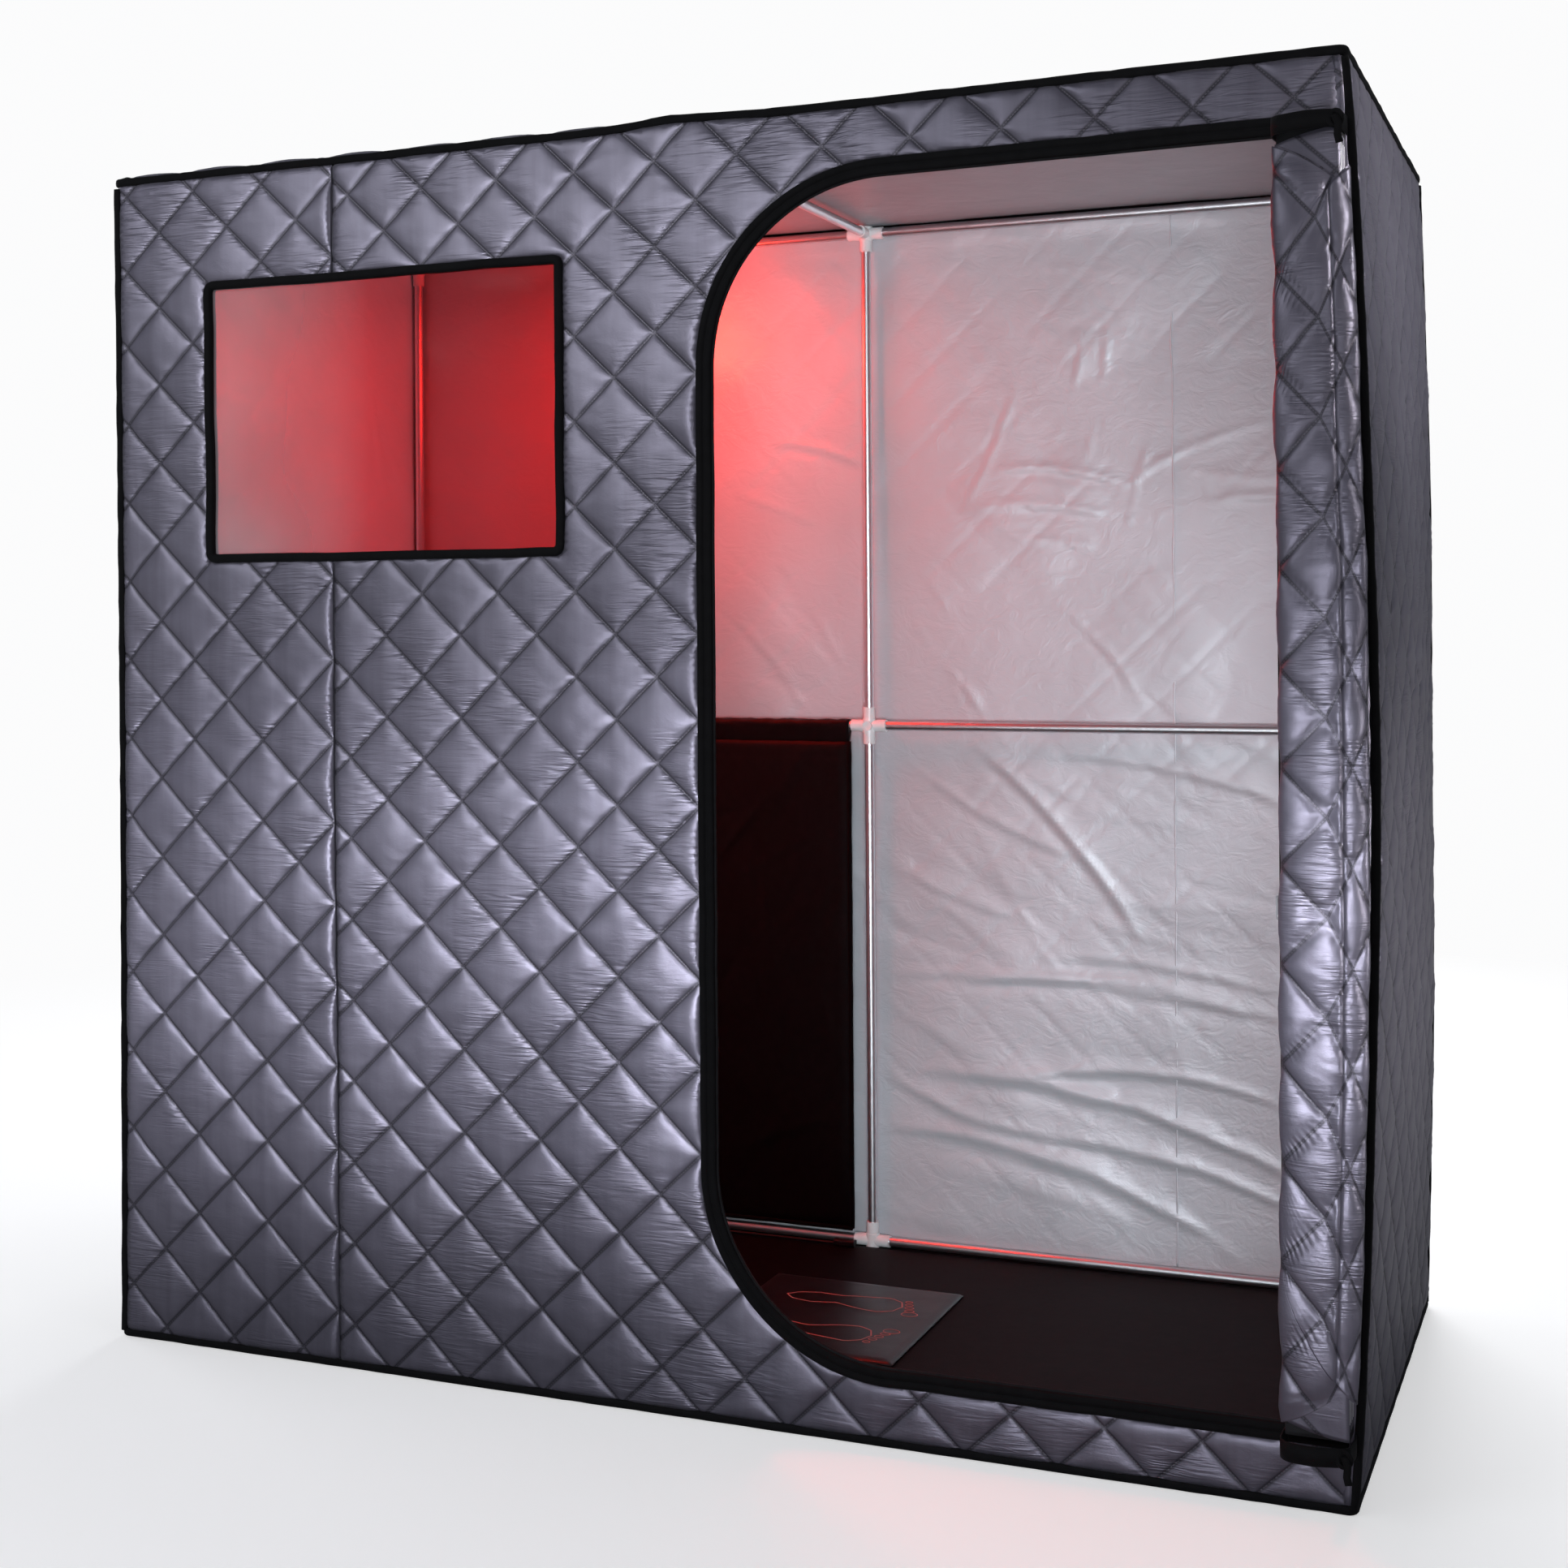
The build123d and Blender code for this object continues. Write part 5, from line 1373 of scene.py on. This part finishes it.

# zip tape along the flap's free edge, sewn to its inner face
def free_edge(inset, step=8.0):
    r = FR - inset
    cx, czl, czh = FREE + FR, FZ0 + FR, FZ1 - FR
    p = []
    a1 = math.acos(min(1, (cx - (FREE + FOLD_W - 1)) / r))
    for a in np.linspace(a1, 0, 14):
        p.append((cx - r * math.cos(a), czh + r * math.sin(a)))
    for z in np.arange(czh - step, czl, -step):
        p.append((FREE + inset, z))
    for a in np.linspace(0, a1, 14):
        p.append((cx - r * math.cos(a), czl - r * math.sin(a)))
    return np.array(p)


pe = free_edge(7.5)
path = np.stack([pe[:, 0] - FREE + REST_L, np.full(len(pe), LASTY - 0.4), pe[:, 1]], 1)
ob = sweep("flap_zip_tape", path, [(-5.5, -0.35), (5.5, -0.35), (5.5, 0.35), (-5.5, 0.35)], ZIPTAPE, up=(0, 1, 0))
piece(ob, "fold_11", "zip_plastic")

# ------------------------------------------------------------------ tie straps
def strap(name, body, node, z, h, seed, lean):
    lo, hi = mmbox(node)
    xr, xl, yf = hi[0] - 1, lo[0] + 1, lo[1] + 1
    r = 16.0
    base = [(xr, -HY - 2.0), (xr + 1, -HY - 20), (xr - 1, yf + r)]
    arc = [(xr - r + r * math.cos(a), yf + r - r * math.sin(a)) for a in np.radians([15, 30, 45, 60, 75])]
    midp = [(xr - r, yf), ((xl + xr) / 2, yf - 2.5), (xl + r, yf)]
    arc2 = [(xl + r - r * math.sin(a), yf + r - r * math.cos(a)) for a in np.radians([15, 30, 45, 60, 75])]
    end = [(xl, yf + r), (xl + 0.5, -HY - 20), (xl + 2.5, -HY - 7)]
    pts = np.array(base + arc + midp + arc2 + end)
    d = np.r_[0, np.cumsum(np.hypot(*np.diff(pts, axis=0).T))]
    s = np.linspace(0, d[-1], 60)
    x, y = np.interp(s, d, pts[:, 0]), np.interp(s, d, pts[:, 1])
    zc = z + lean * (s / d[-1] - 0.4) + 1.0 * np.sin(s / 18 + seed)
    path = np.stack([x, y, zc], 1)
    hw = h / 2 - 1.0
    prof = [(-0.9, -hw), (0.9, -hw), (1.1, -hw + 1.2), (0.9, 0), (1.1, hw - 1.2), (0.9, hw), (-0.9, hw), (-1.1, 0)]
    ob = sweep(name, path, prof, BLACK, up=(0, 0, 1), wob=0.05, seed=seed)
    piece(ob, body, "binding_fabric", node)
    # knotted loop and tail by the seam
    kx, ky = xr - 6, yf + 4
    th = np.linspace(0, 2 * np.pi, 28, endpoint=False)
    loop = np.stack([kx + 8 * np.cos(th), ky - 4 - 2.0 * np.sin(2 * th), z + 9.5 * np.sin(th)], 1)
    ob = sweep(name + "_loop", loop, superellipse(2.6, 1.5, 8), BLACK, closed=True, up=(0, 1, 0))
    piece(ob, body, "binding_fabric")
    tail = np.array([(kx, ky - 5, z + 4), (kx + 4, ky - 7, z - 8), (kx + 3, ky - 7, z - 20), (kx + 5, ky - 5, z - 30)])
    tt = np.linspace(0, 3, 16)
    tp = np.stack([np.interp(tt, range(4), tail[:, k]) for k in range(3)], 1)
    ob = sweep(name + "_tail", tp, [(-4.5, -0.6), (4.5, -0.6), (4.5, 0.6), (-4.5, 0.6)], BLACK, up=(0, 1, 0))
    piece(ob, body, "binding_fabric")


strap("upper_strap", "upper_tie", "upper_tie_strap", 1697.0, 24.0, 3, -3.0)
strap("lower_strap", "lower_tie", "lower_tie_strap", 92.0, 25.0, 5, 2.0)

# ------------------------------------------------------------------ heating panel
hl, hh = mmbox("heater_cover")


def rounded_pad():
    """Cover cloth: soft slab with bound edges, slightly slack."""
    nx, nz = 110, 112
    tx = np.linspace(0, 1, nx); tz = np.linspace(0, 1, nz)
    tx = tx + 0.0; W_, H_ = hh[0] - hl[0], hh[2] - hl[2]
    X = hl[0] + W_ * tx; Z = hl[2] + H_ * tz
    X, Z = np.meshgrid(X, Z, indexing="ij")
    skew = 0.0
    d = rect_sdf(X, Z, hl[0], hh[0], hl[2], hh[2])
    th = 1.2 + 3.6 * sm(d / 16) + 0.8 * fbm(X / 140, Z / 120, 401, 3) * sm(d / 30)
    cr = creases(X.ravel(), Z.ravel(), 70, 402, (hl[0], hh[0]), (hl[2], hh[2]), (80, 320), (5, 12), (0.8, 2.2), 65, 30).reshape(X.shape)
    drop = np.clip((hh[2] - Z) / 330.0, 0, 1)
    gather = 1.5 * np.sin(X / 17.0 + 3.0 * noise(X / 70, Z / 260, 410)) * np.exp(-drop * 3.2) * (0.4 + 0.6 * sm(0.5 + noise(X / 120, Z * 0 + 0.4, 411)))
    sag = 1.8 * noise(X / 210, Z / 260, 412) + 0.9 * noise(X / 60, Z / 420, 413)
    th = th + np.clip(cr * 1.25 + gather + sag, -2.6, 3.2) * sm(d / 26)
    seamz = hh[2] - 24
    th -= 1.8 * np.exp(-((Z - seamz) / 2.5) ** 2)
    ym = (hl[1] + hh[1]) / 2
    Yf = ym - th
    Yb = ym + np.minimum(th, 4.8) * 0.9
    A = np.stack([X, Yf, Z], -1).reshape(-1, 3); B = np.stack([X, Yb, Z], -1).reshape(-1, 3)
    f1 = grid_faces(nx, nz); f2 = grid_faces(nx, nz, flip=True) + nx * nz
    loop = list(range(nz)) + [i * nz + nz - 1 for i in range(1, nx)] + [(nx - 1) * nz + j for j in range(nz - 2, -1, -1)] + [i * nz for i in range(nx - 2, -1, -1)]
    ids = np.array(loop)
    f3 = np.stack([ids[:-1], ids[:-1] + nx * nz, ids[1:] + nx * nz, ids[1:]], 1)
    ob = make("heater_pad", np.concatenate([A, B]), np.concatenate([f1, f2, f3]), [HEATCLOTH])
    import bmesh
    bm = bmesh.new(); bm.from_mesh(ob.data)
    bmesh.ops.recalc_face_normals(bm, faces=bm.faces)
    bm.to_mesh(ob.data); bm.free()
    return ob


piece(rounded_pad(), "heater", "heater_fabric", "heater_cover")
ym = (hl[1] + hh[1]) / 2
for nm, pts in (("heater_binding_right", [(hh[0], ym, hl[2]), (hh[0], ym, hh[2])]), ("heater_binding_left", [(hl[0], ym, hl[2]), (hl[0], ym, hh[2])]),
                ("heater_binding_low", [(hl[0], ym, hl[2]), (hh[0], ym, hl[2])])):
    ob = sweep(nm, dense(pts, 14), superellipse(4.2, 3.6, 10), BLACK, up=(0, 1, 0), wob=0.12, seed=9)
    piece(ob, "heater", "binding_fabric")
# gathered sleeve round the rail
sl, sh = mmbox("heater_sleeve")
ns, na = 150, 22
xs = np.linspace(sl[0], sh[0], ns)
th = np.linspace(0, 2 * np.pi, na, endpoint=False)
XX, TH = np.meshgrid(xs, th, indexing="ij")
rad = 10.6 + 0.9 * noise(XX / 16, TH * 2, 501) + 0.5 * noise(XX / 6, TH, 502)
cy, cz = 411.0, 916.0
Yo = cy + rad * np.cos(TH) * (1 - 0.0 * TH)
Zo = cz + rad * np.sin(TH) * np.where(np.sin(TH) < 0, 1.0, 1.0)
low = np.clip(-np.sin(TH), 0, 1) ** 3
Zo = Zo - low * 22
Yo = Yo - low * 4.5 - 0.0
A = np.stack([XX, Yo, Zo], -1).reshape(-1, 3)
Bi = np.stack([XX, cy + 8.5 * np.cos(TH), cz + 8.5 * np.sin(TH)], -1).reshape(-1, 3)
f1 = grid_faces(ns, na, closed_v=True); f2 = grid_faces(ns, na, closed_v=True, flip=True) + ns * na
capf = []
for i in (0, ns - 1):
    for j in range(na):
        a, b = i * na + j, i * na + (j + 1) % na
        capf.append([a, b, b + ns * na, a + ns * na])
ob = make("heater_sleeve_cloth", np.concatenate([A, Bi]), f1.tolist() + f2.tolist() + capf, [HEATCLOTH])
import bmesh
bm = bmesh.new(); bm.from_mesh(ob.data); bmesh.ops.recalc_face_normals(bm, faces=bm.faces); bm.to_mesh(ob.data); bm.free()
piece(ob, "heater", "heater_fabric", "heater_sleeve")

# ------------------------------------------------------------------ foot warmer
fl, fh = mmbox("foot_mat")
nx, ny = 80, 84
GX, GY = np.meshgrid(np.linspace(fl[0], fh[0], nx), np.linspace(fl[1], fh[1], ny), indexing="ij")
d = rect_sdf(GX, GY, fl[0], fh[0], fl[1], fh[1])
top = fl[2] + 2.0 + 4.4 * sm(d / 7) - 1.2 * np.exp(-((d - 9) / 1.6) ** 2) + 0.5 * fbm(GX / 70, GY / 60, 601, 3) * sm(d / 20)
bot = np.full_like(top, fl[2] + 0.2)
A = np.stack([GX, GY, top], -1).reshape(-1, 3); B = np.stack([GX, GY, bot], -1).reshape(-1, 3)
f1 = grid_faces(nx, ny); f2 = grid_faces(nx, ny, flip=True) + nx * ny
loop = list(range(ny)) + [i * ny + ny - 1 for i in range(1, nx)] + [(nx - 1) * ny + j for j in range(ny - 2, -1, -1)] + [i * ny for i in range(nx - 2, -1, -1)]
ids = np.array(loop)
f3 = np.stack([ids[:-1], ids[:-1] + nx * ny, ids[1:] + nx * ny, ids[1:]], 1)
ob = make("foot_warmer_mat", np.concatenate([A, B]), np.concatenate([f1, f2, f3]), [LEATHER])
bm = bmesh.new(); bm.from_mesh(ob.data); bmesh.ops.recalc_face_normals(bm, faces=bm.faces); bm.to_mesh(ob.data); bm.free()
piece(ob, "foot_warmer", "leatherette", "foot_mat")


def foot_curve(cy, side):
    """Outline of one sole, heel to the left, toes to the right, generic proportions."""
    t = np.linspace(0, 2 * np.pi, 60, endpoint=False)
    u = -np.cos(t)                                        # -1 heel .. 1 ball
    w = np.interp(u, [-1, -0.85, -0.5, -0.1, 0.35, 0.7, 0.92, 1], [0, 18, 25, 21, 31, 38, 28, 0])
    w = w * np.abs(np.sin(t)) ** 0.25
    x = 70 + 98 * u
    arch = -side * 7 * np.exp(-((u + 0.1) / 0.35) ** 2) * (np.sign(np.sin(t)) * side > 0)
    y = cy + np.sign(np.sin(t)) * w + arch
    return x, y


def on_mat(x, y):
    dd = rect_sdf(x, y, fl[0], fh[0], fl[1], fh[1])
    return fl[2] + 6.4 + 0.5 * fbm(x / 70, y / 60, 601, 3) * sm(dd / 20) + 0.1


for k, (cy_, sd) in enumerate(((82.0, -1), (-62.0, 1))):
    x, y = foot_curve(cy_, sd)
    ob = sweep(f"sole_line_{k}", np.stack([x, y, on_mat(x, y)], 1), superellipse(1.25, 0.4, 6), PRINT, closed=True)
    piece(ob, "foot_warmer", "leatherette")
    for i in range(5):
        tx, ty = 190 - 5.0 * i, cy_ + sd * (30 - 14.5 * i)
        a, b = (13, 9.5) if i == 0 else (8.2 - 0.6 * i, 5.6 - 0.35 * i)
        tt = np.linspace(0, 2 * np.pi, 22, endpoint=False)
        x, y = tx + a * np.cos(tt), ty + b * np.sin(tt)
        ob = sweep(f"toe_line_{k}_{i}", np.stack([x, y, on_mat(x, y)], 1), superellipse(0.9, 0.35, 6), PRINT, closed=True)
        piece(ob, "foot_warmer", "leatherette")

# ------------------------------------------------------------------ studio
me = bpy.data.meshes.new("floor")
S = 40.0
me.from_pydata([(-S, -S, -0.0005), (S, -S, -0.0005), (S, S, -0.0005), (-S, S, -0.0005)], [], [(0, 1, 2, 3)])
floor = bpy.data.objects.new("studio_floor", me)
bpy.context.scene.collection.objects.link(floor)
m, t, b = nt("studio_floor")
geo = t.nodes.new("ShaderNodeNewGeometry")
ln = t.nodes.new("ShaderNodeVectorMath"); ln.operation = "LENGTH"; L(t, geo.outputs["Position"], ln.inputs[0])
far = t.nodes.new("ShaderNodeMapRange"); L(t, ln.outputs["Value"], far.inputs[0])
far.inputs["From Min"].default_value = 1.6; far.inputs["From Max"].default_value = 4.2
em = t.nodes.new("ShaderNodeEmission"); em.inputs[0].default_value = (0.97, 0.97, 0.975, 1); em.inputs[1].default_value = 1.0
mixs = t.nodes.new("ShaderNodeMixShader")
outn = [n for n in t.nodes if n.type == "OUTPUT_MATERIAL"][0]
b.inputs["Base Color"].default_value = (0.86, 0.86, 0.865, 1); b.inputs["Roughness"].default_value = 0.6
b.inputs["Emission Color"].default_value = (1, 1, 1, 1); b.inputs["Emission Strength"].default_value = 0.42
L(t, far.outputs[0], mixs.inputs[0]); L(t, b.outputs[0], mixs.inputs[1]); L(t, em.outputs[0], mixs.inputs[2])
lpf = t.nodes.new("ShaderNodeLightPath")
L(t, math_(t, "MULTIPLY", lpf.outputs["Is Camera Ray"], 0.52), b.inputs["Emission Strength"])
L(t, math_(t, "ADD", math_(t, "MULTIPLY", lpf.outputs["Is Camera Ray"], 0.8), 0.2), em.inputs[1])
lit = math_(t, "ADD", math_(t, "MULTIPLY", lpf.outputs["Is Camera Ray"], 0.50), 0.36)
cmb = t.nodes.new("ShaderNodeCombineColor")
for k in range(3):
    L(t, lit, cmb.inputs[k])
L(t, cmb.outputs[0], b.inputs["Base Color"])
L(t, mixs.outputs[0], outn.inputs["Surface"])
me.materials.append(m)
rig.stage(floor)

world = bpy.data.worlds.new("studio"); bpy.context.scene.world = world
world.use_nodes = True
wt = world.node_tree
for n in list(wt.nodes):
    wt.nodes.remove(n)
wo = wt.nodes.new("ShaderNodeOutputWorld")
lp = wt.nodes.new("ShaderNodeLightPath")
bg1 = wt.nodes.new("ShaderNodeBackground"); bg1.inputs[0].default_value = (0.97, 0.97, 0.975, 1); bg1.inputs[1].default_value = 1.0
bg2 = wt.nodes.new("ShaderNodeBackground"); bg2.inputs[0].default_value = (0.80, 0.85, 1.0, 1); bg2.inputs[1].default_value = 0.14
wm = wt.nodes.new("ShaderNodeMixShader")
wt.links.new(lp.outputs["Is Camera Ray"], wm.inputs[0]); wt.links.new(bg2.outputs[0], wm.inputs[1]); wt.links.new(bg1.outputs[0], wm.inputs[2])
wt.links.new(wm.outputs[0], wo.inputs["Surface"])


def area(name, loc, target, size, power, color=(1, 1, 1), size_y=None, spread=180):
    d = bpy.data.lights.new(name, "AREA"); d.energy = power; d.color = color
    d.spread = math.radians(spread)
    d.shape = "RECTANGLE"; d.size = size; d.size_y = size_y or size
    o = bpy.data.objects.new(name, d); o.location = loc
    o.rotation_mode = "QUATERNION"
    o.rotation_quaternion = (Vector(target) - Vector(loc)).to_track_quat("-Z", "Y")
    bpy.context.scene.collection.objects.link(o)
    return o


area("key", (-1.9, -3.6, 3.0), (-0.2, -0.4, 1.3), 2.2, 30, (0.95, 0.96, 1.0), 1.1)
strips = [area("strip_high", (-0.75, -3.0, 1.75), (-0.75, -0.43, 1.62), 1.9, 3.0, (0.94, 0.95, 1.0), 0.5, 30),
          area("strip_low", (-0.1, -3.0, 0.72), (-0.1, -0.43, 0.64), 2.6, 6.4, (0.92, 0.93, 1.0), 0.5, 28)]
area("low_front", (0.45, -3.9, 0.42), (0.75, -0.4, 0.55), 2.2, 20, (0.92, 0.93, 1.0), 0.38)
fill = area("inside_fill", (1.45, -3.25, 0.82), (0.15, 0.43, 0.45), 1.1, 76, (0.84, 0.94, 1.0))
left_fill = area("left_wall_fill", (0.05, -0.10, 1.30), (-0.93, 0.10, 1.25), 0.5, 3.0, (1.0, 0.93, 0.97))
strips += [area("bundle_strip", (0.75, -2.7, 0.95), (0.93, -0.49, 0.66), 0.5, 0.20, (0.92, 0.93, 1.0), 0.5, 40),
           area("side_high", (2.8, -0.9, 1.9), (0.95, 0.0, 1.62), 0.9, 3.2, (1.0, 0.96, 0.96), 0.4, 30),
           area("side_low", (2.9, -0.9, 0.85), (0.95, 0.0, 0.68), 0.9, 2.0, (1.0, 0.96, 0.96), 0.4, 30)]
area("side_fill", (3.3, -1.6, 2.8), (0.93, 0.0, 1.2), 1.0, 7, (1.0, 0.95, 0.94))
area("back_soft", (-0.8, 5.0, 2.6), (0, 0.4, 0.9), 3.0, 110, (0.97, 0.98, 1.0), 1.6)
area("left_soft", (-4.8, 0.9, 2.2), (-0.9, 0, 0.9), 1.8, 34, (0.98, 0.98, 1.0))
area("top_soft", (0.4, 1.6, 4.6), (0, 0.1, 1.8), 2.4, 46, (1.0, 1.0, 1.0))
inner = bpy.data.collections.new("inside")
for o in bpy.data.objects:
    if o.type == "MESH" and ("lining" in o.name or "rail" in o.name or "post" in o.name or "connector" in o.name):
        inner.objects.link(o)
fill.light_linking.receiver_collection = inner
outer = bpy.data.collections.new("outer_cloth")
for o in bpy.data.objects:
    if o.type == "MESH" and ("quilt" in o.name or o.name.startswith("flap_")):
        outer.objects.link(o)
for st in strips:
    st.light_linking.receiver_collection = outer
left_wall = bpy.data.collections.new("left_wall")
for o in bpy.data.objects:
    if o.type == "MESH" and "left_lining" in o.name:
        left_wall.objects.link(o)
left_fill.light_linking.receiver_collection = left_wall

pl = bpy.data.lights.new("lamp_glow", "AREA"); pl.energy = 4.6; pl.color = (1.0, 0.02, 0.008); pl.shape = "RECTANGLE"; pl.size = 0.09; pl.size_y = 0.19
po = bpy.data.objects.new("lamp_glow", pl); po.location = (-0.40, 0.0, 1.721)
bpy.context.scene.collection.objects.link(po)
pl = bpy.data.lights.new("lamp_spill", "POINT"); pl.energy = 5.2; pl.color = (1.0, 0.03, 0.015); pl.shadow_soft_size = 0.06
po = bpy.data.objects.new("lamp_spill", pl); po.location = (-0.37, 0.24, 1.62)
bpy.context.scene.collection.objects.link(po)

cam_d = bpy.data.cameras.new("photo_camera")
cam = bpy.data.objects.new("photo_camera", cam_d)
bpy.context.scene.collection.objects.link(cam)
cam_d.sensor_width = 36.0
cam_d.lens = 49.26
cam_d.clip_start, cam_d.clip_end = 0.05, 100
yaw, roll = math.radians(22.228), math.radians(-0.4063)
fwd = Vector((-math.sin(yaw), math.cos(yaw), 0)); rgt = Vector((math.cos(yaw), math.sin(yaw), 0)); upv = rgt.cross(fwd)
r2 = math.cos(roll) * rgt + math.sin(roll) * upv
u2 = -math.sin(roll) * rgt + math.cos(roll) * upv
cam.rotation_mode = "QUATERNION"
cam.rotation_quaternion = Matrix((r2, u2, -fwd)).transposed().to_quaternion()
cam.location = (1.2836, -3.1213, 1.0999)
drv = cam_d.driver_add("shift_y").driver
drv.type = "SCRIPTED"
for nm_, tt_ in (("cx", "LOC_X"), ("cy", "LOC_Y")):
    var = drv.variables.new(); var.name = nm_; var.type = "TRANSFORMS"
    var.targets[0].id = cam; var.targets[0].transform_type = tt_
drv.expression = "-0.10396 if abs(cx - 1.2836) + abs(cy + 3.1213) < 0.001 else 0.0"
bpy.context.scene.camera = cam
sc = bpy.context.scene
sc.view_settings.view_transform = "Standard"
sc.view_settings.look = "None"
sc.view_settings.exposure = 0.0

lo2, hi2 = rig.bounds()
json.dump({"cad": [list(CAD_BOX[0]), list(CAD_BOX[1])], "visual": [list(lo2), list(hi2)]}, open("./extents.json", "w"))
